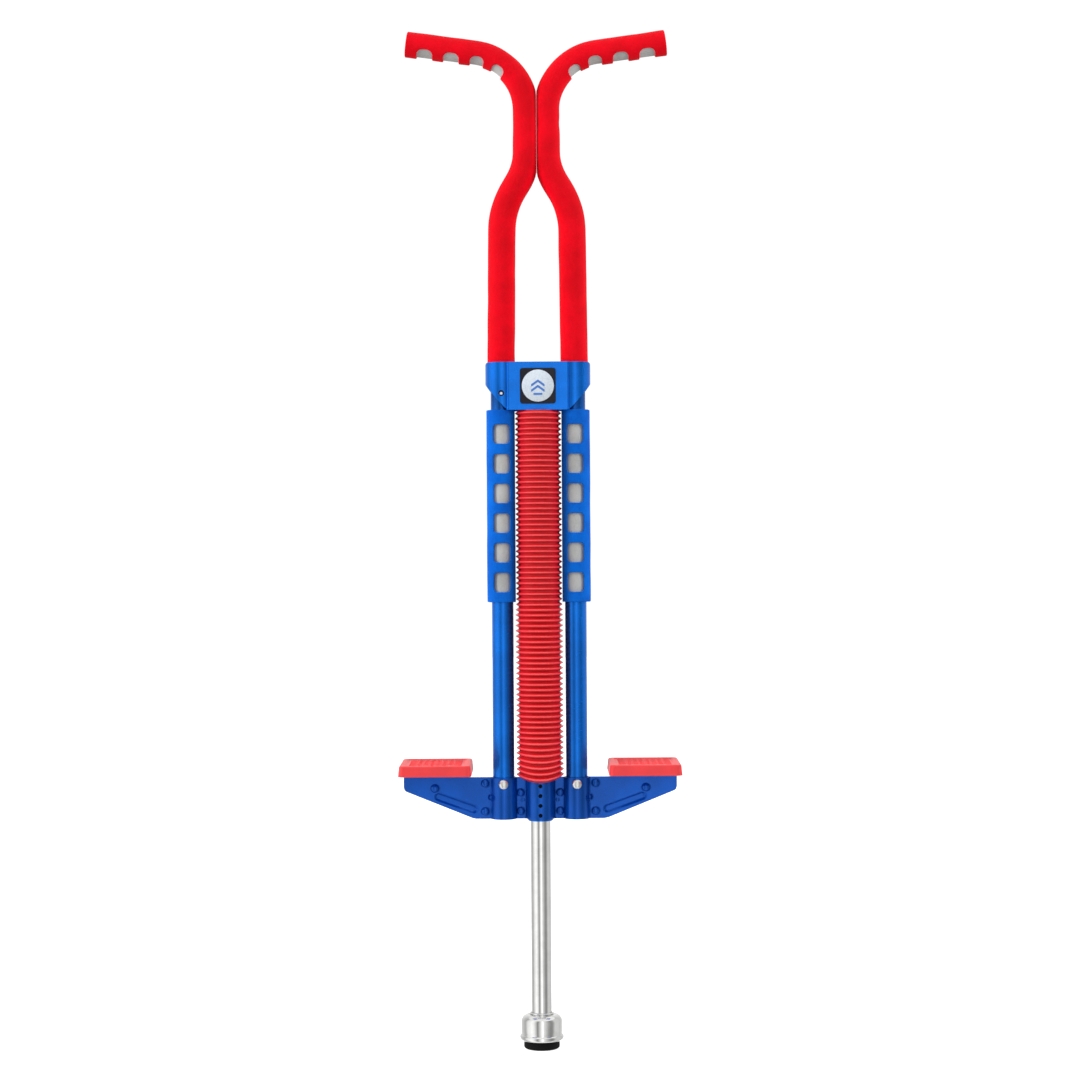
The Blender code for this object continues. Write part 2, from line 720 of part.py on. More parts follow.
def make_badge(parent, finishes):
    """A square badge plate with a round disc, on the bracket's front panel."""
    back = PANEL_FRONT + GAP
    face = back + BADGE_THICKNESS
    middle = BRACKET_BOTTOM + BRACKET_HEIGHT / 2 - BADGE_DROP
    where = {"parent": parent, "location": (0, 0, middle), "rotation": (math.pi / 2, 0, 0)}
    bevel = 0.0004
    plate_rings = [
        rounded_rectangle(BADGE_SIZE, BADGE_SIZE, BADGE_CORNER, back),
        rounded_rectangle(BADGE_SIZE, BADGE_SIZE, BADGE_CORNER, face - bevel),
        rounded_rectangle(BADGE_SIZE - 2 * bevel, BADGE_SIZE - 2 * bevel, BADGE_CORNER, face),
    ]
    loft("badge_plate", plate_rings, finishes["black_plastic"], **where)
    top = face + GAP + DISC_THICKNESS
    disc = ((DISC_RADIUS, face + GAP), (DISC_RADIUS, top - 0.0002), (DISC_RADIUS - 0.0004, top))
    turned("badge_disc", disc, finishes["white_plastic"], **where)


def make_crown(parent, steel):
    """The plate under the bracket that the spring pushes against, with a pilot inside the top coil."""
    profile = (
        (CROWN_RADIUS, CROWN_TOP),
        (CROWN_RADIUS, CROWN_BOTTOM),
        (PILOT_RADIUS, CROWN_BOTTOM),
        (PILOT_RADIUS, PILOT_BOTTOM),
        (PILOT_RADIUS - PILOT_WALL, PILOT_BOTTOM),
        (PILOT_RADIUS - PILOT_WALL, CROWN_BOTTOM - 0.0005),
    )
    turned("crown_plate", profile, steel, parent=parent)


def make_cover(parent, red_plastic):
    """The ribbed tube over the spring: ridges outside and a plain bore."""
    pitch = COVER_LENGTH / RIDGES
    profile = [(COVER_ROOT, COVER_BOTTOM)]
    for k in range(RIDGES):
        height = COVER_BOTTOM + k * pitch
        crest = SQUEEZED_RADIUS if height > PAD_BOTTOM - pitch else COVER_RADIUS
        profile.append((crest, height + pitch / 2))
        profile.append((COVER_ROOT, height + pitch))
    profile += [(COVER_BORE, COVER_TOP), (COVER_BORE, COVER_BOTTOM)]
    turned_ring("spring_cover", profile, red_plastic, SMALL_SIDES, parent=parent)


def make_spring(parent, steel, steps=7):
    """An open compression spring with closed end coils."""
    low = SPRING_BOTTOM + WIRE_RADIUS
    high = SPRING_TOP - WIRE_RADIUS
    closed_pitch = 2.1 * WIRE_RADIUS
    rings = []
    for k in range(COILS * steps + 1):
        turn = k / steps
        open_share = (min(max(turn, 1), COILS - 1) - 1) / (COILS - 2)
        open_height = high - low - 2 * closed_pitch
        ends = min(turn, 1) + max(turn - COILS + 1, 0)
        height = low + ends * closed_pitch + open_share * open_height
        angle = 2 * math.pi * turn
        ring = []
        for corner in range(4):
            around = math.pi / 2 * corner + math.pi / 4
            radius = COIL_RADIUS + WIRE_RADIUS * math.cos(around)
            level = height + WIRE_RADIUS * math.sin(around)
            ring.append(Vector((radius * math.cos(angle), radius * math.sin(angle), level)))
        rings.append(ring)
    loft("spring", rings, steel, parent=parent)


# Foot bracket


def plate_line():
    """The middle line of a foot plate, with a channel for each tube and a wider one for the sleeve."""
    points = [Vector((-PLATE_HALF_WIDTH - 0.002, -PLATE_MIDDLE))]
    for centre, radius in ((-HALF_SPACING, TUBE_CHANNEL), (0, SLEEVE_CHANNEL), (HALF_SPACING, TUBE_CHANNEL)):
        lift = math.degrees(math.asin(PLATE_MIDDLE / radius))
        points += arc((centre, 0), radius, 180 + lift, 360 - lift, CHANNEL_STEPS)
    points.append(Vector((PLATE_HALF_WIDTH + 0.002, -PLATE_MIDDLE)))
    return points


def plate_outline():
    """The foot plates seen from the front, with a hidden tab under each pedal."""
    inner_tab = PEDAL_INNER + TREAD_WALL + 2 * PLATFORM_MARGIN
    outer_tab = PLATE_HALF_WIDTH - 0.002
    half = [
        (0.0, PLATE_BOTTOM),
        (PLATE_FLAT_HALF, PLATE_BOTTOM),
        (PLATE_HALF_WIDTH, PLATE_TOP - PLATE_END_HEIGHT),
        (PLATE_HALF_WIDTH, PLATE_TOP),
        (outer_tab, PLATE_TOP),
    ]
    right = filleted(half, (0.02, PLATE_CORNER, 0.001))[1:]
    right += [Vector((outer_tab, TAB_TOP)), Vector((inner_tab, TAB_TOP)), Vector((inner_tab, PLATE_TOP))]
    left = [Vector((-point.x, point.y)) for point in reversed(right)]
    return right + left


def rivet_spots():
    """Every rivet's x and height, left to right."""
    inner = HALF_SPACING - CHANNEL_EDGE - INNER_RIVET_IN
    outer = HALF_SPACING + CHANNEL_EDGE + OUTER_RIVET_OUT
    right = [
        (PLATE_HALF_WIDTH - END_RIVET_IN, PLATE_TOP - END_RIVET_DROP),
        (outer, PLATE_TOP - OUTER_RIVET_DROP),
        (outer, PLATE_BOTTOM + OUTER_RIVET_RISE),
        (inner, PLATE_TOP - INNER_RIVET_DROP),
        (inner, PLATE_BOTTOM + INNER_RIVET_RISE),
    ]
    return sorted(right + [(-x, z) for x, z in right])


def make_foot_plates(parent, finishes):
    """Front and rear pressed plates, riveted together round the tubes and the guide sleeve."""
    sheet = ribbon(plate_line(), SHEET)
    outline = plate_outline()
    rivet_hole = RIVET_SHANK + HOLE_CLEARANCE
    bolt_hole = BOLT_SHANK + HOLE_CLEARANCE
    for name, way in (("front", 1), ("rear", -1)):
        ring = [Vector((point.x, point.y * way)) for point in sheet]
        rings = [raised(ring, PLATE_BOTTOM - 0.003), raised(ring, TAB_TOP + 0.003)]
        plate = loft(f"foot_plate_{name}", rings, finishes["blue_metal"], parent=parent)
        cut(plate, [[facing(outline, -0.03), facing(outline, 0.03)]], "INTERSECT")
        holes = [drill(x, z, rivet_hole, -0.005, 0.005) for x, z in rivet_spots()]
        for side in (LEFT, RIGHT):
            holes.append(drill(side * HALF_SPACING, BOLT_HEIGHT, bolt_hole, -0.03, 0.03))
        if name == "front":
            pitch = (PLATE_HEIGHT - LUBE_FIRST - LUBE_LAST) / (LUBE_HOLES - 1)
            for k in range(LUBE_HOLES):
                height = PLATE_BOTTOM + LUBE_FIRST + k * pitch
                holes.append(drill(0, height, LUBE_HOLE_RADIUS, -0.03, -0.005))
        cut(plate, holes)


def make_rivets(parent, blue_metal):
    """Domed rivets through both plates."""
    face = PLATE_MIDDLE + SHEET / 2 + GAP
    dome = [
        (RIVET_HEAD * math.cos(turn), face + RIVET_DOME * math.sin(turn)) for turn in (0, 0.9)
    ]
    shank = [(RIVET_SHANK, face), (RIVET_SHANK, -face)]
    tail = [(radius, -height) for radius, height in dome]
    profile = dome[::-1] + shank + tail
    for index, (x, z) in enumerate(rivet_spots()):
        turned(
            f"rivet_{index + 1:02d}",
            profile,
            blue_metal,
            HOLE_SIDES,
            parent=parent,
            location=(x, 0, z),
            rotation=(math.pi / 2, 0, 0),
        )


def make_tube_bolt(side, parent, steel):
    """A domed bolt and its nut, through the plates and a frame tube."""
    seat = CHANNEL_EDGE + GAP
    dome = [(BOLT_HEAD * math.cos(turn), seat + BOLT_DOME * math.sin(turn)) for turn in (0, 0.6, 1.1)]
    end = seat + NUT_HEIGHT + 0.0006
    profile = dome[::-1] + [(BOLT_SHANK, seat), (BOLT_SHANK, -end)]
    where = {
        "parent": parent,
        "location": (side * HALF_SPACING, 0, BOLT_HEIGHT),
        "rotation": (math.pi / 2, 0, 0),
    }
    turned(f"tube_bolt_{SIDE_NAMES[side]}", profile, steel, SMALL_SIDES, **where)
    bore = BOLT_SHANK / math.cos(math.pi / 6) + GAP
    pipe(f"tube_nut_{SIDE_NAMES[side]}", NUT_RADIUS, bore, -seat - NUT_HEIGHT, -seat, steel, 6, **where)


def make_guide(parent, finishes):
    """The steel sleeve held by the plates, its nylon bushing and the rubber bumper on top."""
    pipe(
        "guide_sleeve",
        SLEEVE_RADIUS,
        BUSHING_RADIUS + GAP,
        SLEEVE_BOTTOM,
        SLEEVE_TOP,
        finishes["blue_metal"],
        parent=parent,
    )
    pipe(
        "guide_bushing",
        BUSHING_RADIUS,
        PLUNGER_BORE,
        SLEEVE_BOTTOM + GAP,
        SLEEVE_TOP - GAP,
        finishes["white_plastic"],
        parent=parent,
    )
    pipe(
        "rebound_bumper",
        BUMPER_RADIUS,
        PLUNGER_BORE,
        BUMPER_BOTTOM,
        BUMPER_BOTTOM + BUMPER_HEIGHT,
        finishes["rubber"],
        parent=parent,
    )


def make_pedal(side, parent, finishes):
    """A steel platform on the plates' tabs, the hollow tread that covers it, and two screws from below."""
    name = SIDE_NAMES[side]
    centre = (side * PEDAL_MIDDLE, 0.0)
    hollow = (PEDAL_LENGTH - 2 * TREAD_WALL, PEDAL_DEPTH - 2 * TREAD_WALL)
    inner_corner = TREAD_CORNER - TREAD_WALL

    def ring(shrink, height, corner=TREAD_CORNER):
        return rounded_rectangle(PEDAL_LENGTH - 2 * shrink, PEDAL_DEPTH - 2 * shrink, corner, height, centre)

    top = SKIRT_BOTTOM + TREAD_HEIGHT
    rings = [
        rounded_rectangle(*hollow, inner_corner, TREAD_CEILING, centre),
        rounded_rectangle(*hollow, inner_corner, SKIRT_BOTTOM, centre),
        ring(0, SKIRT_BOTTOM),
        ring(TREAD_DRAFT * 0.6, top - TREAD_DRAFT),
        ring(TREAD_DRAFT * 1.6, top),
        ring(TREAD_RIM, top, 0.003),
        ring(TREAD_RIM + TREAD_RECESS, top - TREAD_RECESS, 0.002),
    ]
    tread = loft(f"pedal_tread_{name}", rings, finishes["red_plastic"], parent=parent)
    size = (hollow[0] - 2 * PLATFORM_MARGIN, hollow[1] - 2 * PLATFORM_MARGIN)
    plate_rings = [
        rounded_rectangle(*size, inner_corner, height, centre) for height in (PLATFORM_BOTTOM, PLATFORM_TOP)
    ]
    platform = loft(f"pedal_platform_{name}", plate_rings, finishes["blue_metal"], parent=parent)

    hole = PEDAL_SCREW_SHANK + HOLE_CLEARANCE
    head_top = PLATFORM_BOTTOM - GAP
    head_low = head_top - PEDAL_SCREW_HEAD_HEIGHT
    profile = (
        (PEDAL_SCREW_HEAD - 0.001, head_low),
        (PEDAL_SCREW_HEAD, head_low + 0.0008),
        (PEDAL_SCREW_HEAD, head_top),
        (PEDAL_SCREW_SHANK, head_top),
        (PEDAL_SCREW_SHANK, PEDAL_SCREW_TIP - 0.0006),
        (PEDAL_SCREW_SHANK * 0.6, PEDAL_SCREW_TIP),
    )
    holes = []
    for place, y in (("front", -PEDAL_SCREW_OFFSET), ("rear", PEDAL_SCREW_OFFSET)):
        spot_xy = (centre[0], y)
        ends = (PLATFORM_BOTTOM - 0.002, PEDAL_SCREW_TIP + GAP)
        holes.append([circle(hole, height, HOLE_SIDES, spot_xy) for height in ends])
        turned(
            f"pedal_screw_{name}_{place}",
            profile,
            finishes["steel"],
            SMALL_SIDES,
            parent=parent,
            location=(*spot_xy, 0),
        )
    cut(tread, holes)
    cut(platform, holes)


# Plunger


def make_seat(parent, steel):
    """The washer that carries the spring's lower end."""
    top = WASHER_BOTTOM + WASHER_THICKNESS
    pipe("spring_washer", WASHER_RADIUS, PLUNGER_BORE, WASHER_BOTTOM, top, steel, parent=parent)


def make_plunger(parent, finishes):
    """The chromed tube with its cross pin, top cap, neck ring, cup and rubber tip."""
    chrome = finishes["chrome"]
    bore = PLUNGER_RADIUS - PLUNGER_WALL
    top = PLUNGER_TOP
    tube = pipe("plunger_tube", PLUNGER_RADIUS, bore, PLUNGER_BOTTOM, top, chrome, parent=parent)
    hole = arc((0, PIN_HEIGHT), PIN_RADIUS + HOLE_CLEARANCE, 0, 360 - 360 / HOLE_SIDES, HOLE_SIDES - 1)
    cut(tube, [[[Vector((x, point.x, point.y)) for point in hole] for x in (-0.03, 0.03)]])
    reach = WASHER_RADIUS - PIN_INSET
    turned(
        "cross_pin",
        (
            (PIN_RADIUS * 0.8, -reach),
            (PIN_RADIUS, -reach + 0.0006),
            (PIN_RADIUS, reach - 0.0006),
            (PIN_RADIUS * 0.8, reach),
        ),
        finishes["steel"],
        SMALL_SIDES,
        parent=parent,
        location=(0, 0, PIN_HEIGHT),
        rotation=(0, math.pi / 2, 0),
    )
    turned(
        "plunger_cap",
        (
            (bore - GAP, top - 0.012),
            (bore - GAP, top + GAP),
            (PLUNGER_RADIUS - GAP, top + GAP),
            (PLUNGER_RADIUS - GAP, top + 0.0015),
            (PLUNGER_RADIUS * 0.6, top + 0.003),
        ),
        finishes["black_plastic"],
        parent=parent,
    )
    ring_low = CUP_TOP + GAP
    turned_ring(
        "neck_ring",
        (
            (PLUNGER_BORE, ring_low),
            (NECK_RING_RADIUS, ring_low),
            (NECK_RING_RADIUS, ring_low + NECK_RING_HEIGHT * 0.5),
            (PLUNGER_BORE + 0.0006, ring_low + NECK_RING_HEIGHT),
            (PLUNGER_BORE, ring_low + NECK_RING_HEIGHT),
        ),
        chrome,
        parent=parent,
    )
    make_cup(parent, chrome)
    make_tip(parent, finishes["rubber"])


def make_cup(parent, chrome):
    """A pressed cup with a round shoulder and a rolled flange, hollow for the rubber's plug."""
    outer = arc((CUP_LIP, CUP_TOP - CUP_SHOULDER), CUP_SHOULDER, 90, 0, 4)
    outer += arc((CUP_FLANGE - FLANGE_BEAD, TIP_STANDOUT + FLANGE_RISE), FLANGE_BEAD, 62, -62, 4)
    outer += [Vector((RUBBER_RADIUS + 0.0007, TIP_STANDOUT + GAP))]
    hollow = RUBBER_PLUG_RADIUS + GAP
    ceiling = TIP_STANDOUT + RUBBER_PLUG_HEIGHT + GAP
    outer += [Vector((hollow, TIP_STANDOUT + GAP)), Vector((hollow, ceiling))]
    outer += [Vector((PLUNGER_BORE, ceiling)), Vector((PLUNGER_BORE, CUP_TOP))]
    turned_ring("tip_cup", outer, chrome, parent=parent)


def make_tip(parent, rubber):
    """The rubber foot, with a plug that fills the cup."""
    profile = [
        (RUBBER_PLUG_RADIUS, TIP_STANDOUT + RUBBER_PLUG_HEIGHT),
        (RUBBER_PLUG_RADIUS, TIP_STANDOUT),
        (RUBBER_RADIUS, TIP_STANDOUT),
    ]
    profile += [tuple(p) for p in arc((RUBBER_RADIUS - RUBBER_EDGE, RUBBER_EDGE), RUBBER_EDGE, 0, -90, 3)]
    turned("rubber_tip", profile, rubber, parent=parent)


# Assembly


def clear_scene():
    for obj in list(bpy.data.objects):
        bpy.data.objects.remove(obj)


def make_finishes():
    """Every material, by name."""
    return {
        "steel": finish("zinc_steel", (0.62, 0.62, 0.63), 0.35, 1.0),
        "chrome": finish("chrome", (0.80, 0.80, 0.81), 0.08, 1.0),
        "blue_metal": finish("blue_paint", (0.02, 0.12, 0.62), 0.25, 0.4),
        "red_foam": finish("red_foam", (0.80, 0.02, 0.05), 0.9),
        "blue_foam": finish("blue_foam", (0.01, 0.16, 0.62), 0.9),
        "grey_foam": finish("grey_foam", (0.48, 0.48, 0.47), 0.9),
        "red_plastic": finish("red_plastic", (0.85, 0.05, 0.06), 0.4),
        "black_plastic": finish("black_plastic", (0.02, 0.02, 0.02), 0.45),
        "white_plastic": finish("white_plastic", (0.85, 0.85, 0.85), 0.4),
        "rubber": finish("rubber", (0.015, 0.015, 0.015), 0.8),
    }


def add_body(name, parent=None):
    """An empty on the Z axis that a moving group hangs from."""
    empty = bpy.data.objects.new(name, None)
    bpy.context.scene.collection.objects.link(empty)
    empty.parent = parent
    return empty


def main():
    clear_scene()
    finishes = make_finishes()
    frame = add_body("frame")
    spring_seat = add_body("spring_seat", frame)
    plunger = add_body("plunger", spring_seat)
    path = handle_path()
    for side in (LEFT, RIGHT):
        make_frame_tube(side, frame, finishes["blue_metal"])
        make_handle(side, frame, path, finishes)
        make_pad(side, frame, finishes)
        make_tube_bolt(side, frame, finishes["steel"])
        make_pedal(side, frame, finishes)
    make_bracket(frame, finishes)
    make_crown(frame, finishes["blue_metal"])
    make_cover(frame, finishes["red_plastic"])
    make_spring(frame, finishes["steel"])
    make_foot_plates(frame, finishes)
    make_rivets(frame, finishes["blue_metal"])
    make_guide(frame, finishes)
    make_seat(spring_seat, finishes["steel"])
    make_plunger(plunger, finishes)


main()
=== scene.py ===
import json
import math

import bmesh
import bpy
import numpy as np
from mathutils import Matrix, Vector, noise


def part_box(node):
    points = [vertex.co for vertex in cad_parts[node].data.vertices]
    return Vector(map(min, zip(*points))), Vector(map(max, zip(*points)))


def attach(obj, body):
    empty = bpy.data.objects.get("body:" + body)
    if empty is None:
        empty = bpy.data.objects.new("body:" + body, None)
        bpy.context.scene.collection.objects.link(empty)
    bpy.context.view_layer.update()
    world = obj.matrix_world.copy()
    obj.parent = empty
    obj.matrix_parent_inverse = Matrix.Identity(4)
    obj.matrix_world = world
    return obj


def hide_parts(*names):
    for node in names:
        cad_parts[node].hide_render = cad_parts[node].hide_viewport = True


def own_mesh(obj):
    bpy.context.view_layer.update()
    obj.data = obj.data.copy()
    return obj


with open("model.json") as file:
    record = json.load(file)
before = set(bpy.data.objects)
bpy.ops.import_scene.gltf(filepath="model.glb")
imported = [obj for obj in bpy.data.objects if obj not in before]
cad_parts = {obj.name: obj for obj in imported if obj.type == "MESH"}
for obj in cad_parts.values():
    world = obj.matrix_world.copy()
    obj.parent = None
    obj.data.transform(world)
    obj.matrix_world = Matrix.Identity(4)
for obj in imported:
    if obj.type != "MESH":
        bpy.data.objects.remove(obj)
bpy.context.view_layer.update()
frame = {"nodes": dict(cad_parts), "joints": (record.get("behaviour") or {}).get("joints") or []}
scene = bpy.context.scene
gap = 0.0003  # the clearance between pieces that touch


def low(node):
    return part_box(node)[0]


def high(node):
    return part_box(node)[1]


def middle(node):
    return (low(node) + high(node)) / 2


def span(node):  # its bottom and top
    return low(node).z, high(node).z


halfSpacing = middle("frame_tube_right").x
tubeRadius = high("frame_tube_right").x - halfSpacing
tubeTop = high("frame_tube_right").z
plateBottom = low("foot_plate_front").z
plateTop = low("spring_cover").z - gap
tabTop = high("foot_plate_front").z
bracketBottom = low("upper_bracket_front").z
bracketTop = high("upper_bracket_front").z
panelHalf = halfSpacing - 0.00685  # of the upper bracket's flat front
sides = {"left": -1, "right": 1}


# every shape ends as a plain mesh at the origin
def shaded(mesh, crease=40):  # smooth, but sharp where the faces turn by more than crease degrees
    mesh.shade_smooth()
    mesh.set_sharp_from_angle(angle=math.radians(crease))


def linked(name, mesh):
    thing = bpy.data.objects.new(name, mesh)
    scene.collection.objects.link(thing)
    return thing


def faceOut(mesh):  # drops stray points and turns every face outwards
    form = bmesh.new()
    form.from_mesh(mesh)
    bmesh.ops.delete(form, geom=[v for v in form.verts if not v.link_faces], context="VERTS")
    bmesh.ops.recalc_face_normals(form, faces=form.faces)
    form.to_mesh(mesh)
    form.free()


def newPiece(name, points, faces, crease=40):
    mesh = bpy.data.meshes.new(name)
    mesh.from_pydata([tuple(p) for p in points], [], faces)
    faceOut(mesh)
    shaded(mesh, crease)
    return linked(name, mesh)


def turnedTo(piece, matrix):  # moves the mesh, not the object
    piece.data.transform(matrix)
    return piece


def facing(spot):  # carries what was turned about Z to the front, at this spot
    return Matrix.Translation(spot) @ Matrix.Rotation(math.pi / 2, 4, "X")


def baked(piece):  # its modifiers' result as a plain mesh
    graph = bpy.context.evaluated_depsgraph_get()
    mesh = bpy.data.meshes.new_from_object(piece.evaluated_get(graph))
    piece.modifiers.clear()
    piece.data = mesh
    shaded(mesh)
    return piece


def bevelled(piece, width, segments=2):
    bevel = piece.modifiers.new("edges", "BEVEL")
    bevel.width = width
    bevel.segments = segments
    bevel.limit_method = "ANGLE"
    bevel.angle_limit = math.radians(50)
    return baked(piece)


def joined(name, pieces):
    target = bmesh.new()
    for piece in pieces:
        target.from_mesh(piece.data)
        bpy.data.objects.remove(piece)
    mesh = bpy.data.meshes.new(name)
    target.to_mesh(mesh)
    target.free()
    shaded(mesh)
    return linked(name, mesh)


def arc(centre, radius, start, end, steps):  # angles in degrees
    turns = np.radians(np.linspace(start, end, steps + 1))
    return [Vector((centre[0] + radius * math.cos(t), centre[1] + radius * math.sin(t))) for t in turns]


def softened(outline, radius, closed=True, steps=4):  # rounds the corners of an outline
    outline = [Vector(p) for p in outline]
    result = []
    for i, corner in enumerate(outline):
        if not closed and i in (0, len(outline) - 1):
            result.append(corner)
            continue
        back = outline[i - 1] - corner
        ahead = outline[(i + 1) % len(outline)] - corner
        turn = math.pi - back.angle(ahead)
        if turn < 0.3:
            result.append(corner)
            continue
        reach = min(radius * math.tan(turn / 2), 0.45 * back.length, 0.45 * ahead.length)
        start = corner + back.normalized() * reach
        end = corner + ahead.normalized() * reach
        for k in range(steps + 1):
            t = k / steps
            result.append(start * (1 - t) ** 2 + corner * 2 * t * (1 - t) + end * t * t)
    return result


def ringOutline(outer, inner, bottom, top, edge=0.0004):
    return softened([(outer, bottom), (outer, top), (inner, top), (inner, bottom)], edge)


def turnedShape(name, outline, around=72, centre=(0, 0)):
    # turns (radius, height) points about an upright axis; points on the axis close the shape
    points, rings, faces = [], [], []
    for radius, height in outline:
        if radius < 1e-6:
            rings.append([len(points)] * around)
            points.append((centre[0], centre[1], height))
            continue
        rings.append(list(range(len(points), len(points) + around)))
        for k in range(around):
            turn = 2 * math.pi * k / around
            points.append((centre[0] + radius * math.cos(turn), centre[1] + radius * math.sin(turn), height))
    onAxis = outline[0][0] < 1e-6
    pairs = list(zip(rings, rings[1:])) + ([] if onAxis else [(rings[-1], rings[0])])
    for lower, upper in pairs:
        for k in range(around):
            j = (k + 1) % around
            corners = [lower[k], lower[j], upper[j], upper[k]]
            faces.append([c for i, c in enumerate(corners) if c not in corners[:i]])
    return newPiece(name, points, faces)


def stacked(name, rings, crease=40):  # skins a row of equal loops and closes both ends
    count = len(rings[0])
    points = [p for ring in rings for p in ring]
    faces = [list(range(count)), list(range(len(points) - count, len(points)))]
    for i in range(len(rings) - 1):
        for k in range(count):
            j = (k + 1) % count
            faces.append([i * count + k, i * count + j, (i + 1) * count + j, (i + 1) * count + k])
    return newPiece(name, points, faces, crease)


def roundedLoop(width, depth, corner, height, centre=(0, 0), steps=8):
    loop = []
    for quarter, (sx, sy) in enumerate(((1, 1), (-1, 1), (-1, -1), (1, -1))):
        for p in arc((0, 0), corner, 90 * quarter, 90 * quarter + 90, steps):
            x = centre[0] + sx * (width / 2 - corner) + p.x
            y = centre[1] + sy * (depth / 2 - corner) + p.y
            loop.append(Vector((x, y, height)))
    return loop


def extruded(name, outlines, back, front):  # flat outlines in XZ given a depth along Y
    pieces = []
    for i, outline in enumerate(outlines):
        rings = [[Vector((p[0], y, p[1])) for p in outline] for y in (back, front)]
        pieces.append(stacked(f"{name}{i}", rings))
    return joined(name, pieces)


def gridSolid(name, outer, inner, kept, wrap=False):
    # two matching grids of points become one solid with walls round every opening
    rows, columns = outer.shape[:2]
    shift = rows * columns
    faces, edges = [], set()
    for i in range(rows - 1):
        for j in range(columns if wrap else columns - 1):
            if not kept[i, j]:
                continue
            k = (j + 1) % columns
            a, b = i * columns + j, i * columns + k
            c, d = b + columns, a + columns
            faces += [(a, b, c, d), (d + shift, c + shift, b + shift, a + shift)]
            edges.update(((a, b), (b, c), (c, d), (d, a)))
    for a, b in sorted(edges):
        if (b, a) not in edges:
            faces.append((b, a, a + shift, b + shift))
    points = np.concatenate((outer.reshape(-1, 3), inner.reshape(-1, 3)))
    return newPiece(name, points, faces)


def clustered(start, end, coarse, fine, edges, reach):  # stations that crowd round the given edges
    spots = set(np.linspace(start, end, math.ceil((end - start) / coarse) + 1))
    for edge in edges:
        a, b = max(start, edge - reach), min(end, edge + reach)
        spots = {s for s in spots if not a < s < b}
        spots |= set(np.linspace(a, b, math.ceil((b - a) / fine) + 1))
    kept = []
    for spot in sorted(spots):
        if not kept or spot - kept[-1] > 0.4 * fine:
            kept.append(spot)
    return np.array(kept)


def openings(u, v, distance, wrap=False):
    # drops the cells of a grid where distance is negative, and slides the rim onto the opening's edge
    around = np.concatenate((v, v[:, :1] + 2 * math.pi), axis=1) if wrap else v
    along = np.concatenate((u, u[:, :1]), axis=1) if wrap else u
    centre = [(g[:-1, :-1] + g[1:, :-1] + g[:-1, 1:] + g[1:, 1:]) / 4 for g in (along, around)]
    kept = distance(*centre) > 0
    touching = np.zeros(u.shape, int)
    counted = np.zeros(u.shape, int)
    columns = kept.shape[1]
    for di in (0, 1):
        for dj in (0, 1):
            for j in range(columns):
                target = (j + dj) % u.shape[1]
                touching[di:di + kept.shape[0], target] += kept[:, j]
                counted[di:di + kept.shape[0], target] += 1
    rim = (touching > 0) & (touching < counted)
    step = 1e-5
    for _ in range(4):
        here = distance(u, v)
        du = (distance(u + step, v) - here) / step
        dv = (distance(u, v + step) - here) / step
        size = np.maximum(du * du + dv * dv, 1e-9)
        u = np.where(rim, u - here * du / size, u)
        v = np.where(rim, v - here * dv / size, v)
    return u, v, kept


def roundedEdge(distance, radius):  # how far a surface drops towards an edge that far away
    inset = radius - np.clip(distance, 0, radius)
    return radius - np.sqrt(radius * radius - inset * inset)


def smooth(value, start, end):
    t = np.clip((value - start) / (end - start), 0, 1)
    return t * t * (3 - 2 * t)


class Route:  # a plane line through rounded corners, read by the distance along it
    def __init__(self, corners, radii, step=2):
        line = [Vector(corners[0])]
        for before, corner, after, radius in zip(corners, corners[1:], corners[2:], radii):
            corner = Vector(corner)
            into = (corner - Vector(before)).normalized()
            out = (Vector(after) - corner).normalized()
            turn = math.atan2(into.cross(out), into.dot(out))
            start = corner - into * radius * math.tan(abs(turn) / 2)
            centre = start + Vector((-into.y, into.x)) * math.copysign(radius, turn)
            count = max(2, round(abs(math.degrees(turn)) / step))
            for k in range(count + 1):
                line.append(centre + Matrix.Rotation(turn * k / count, 2) @ (start - centre))
        line.append(Vector(corners[-1]))
        spare = 0.02  # the line runs on straight past both ends
        first = line[0] + (line[0] - line[1]).normalized() * spare
        last = line[-1] + (line[-1] - line[-2]).normalized() * spare
        self.points = np.array([first, *line, last])
        steps = np.linalg.norm(np.diff(self.points, axis=0), axis=1)
        self.run = np.concatenate(([0], np.cumsum(steps))) - spare
        self.length = self.run[-1] - spare

    def at(self, distance):
        return np.stack([np.interp(distance, self.run, self.points[:, i]) for i in (0, 1)], axis=-1)

    def along(self, distance, reach=0.003):
        step = self.at(distance + reach) - self.at(distance - reach)
        return step / np.linalg.norm(step, axis=-1, keepdims=True)


# materials and Geometry Nodes are both written as expressions
class Wire:  # a socket that can be added, scaled and compared
    def __init__(self, graph, socket):
        self.graph, self.socket = graph, socket

    def math(self, operation, *others):
        sockets = {i: value for i, value in enumerate((self, *others))}
        return self.graph.add("ShaderNodeMath", sockets, operation=operation)

    def __add__(self, other):
        return self.math("ADD", other)

    def __sub__(self, other):
        return self.math("SUBTRACT", other)

    def __rsub__(self, other):
        return (self * -1) + other

    def __mul__(self, other):
        return self.math("MULTIPLY", other)

    def __truediv__(self, other):
        return self.math("DIVIDE", other)

    def __pow__(self, other):
        return self.math("POWER", other)

    __radd__ = __add__
    __rmul__ = __mul__

    def between(self, start, end):  # 0 at start, 1 at end, smooth
        sockets = {"Value": self, "From Min": start, "From Max": end}
        return self.graph.add("ShaderNodeMapRange", sockets, interpolation_type="SMOOTHSTEP")


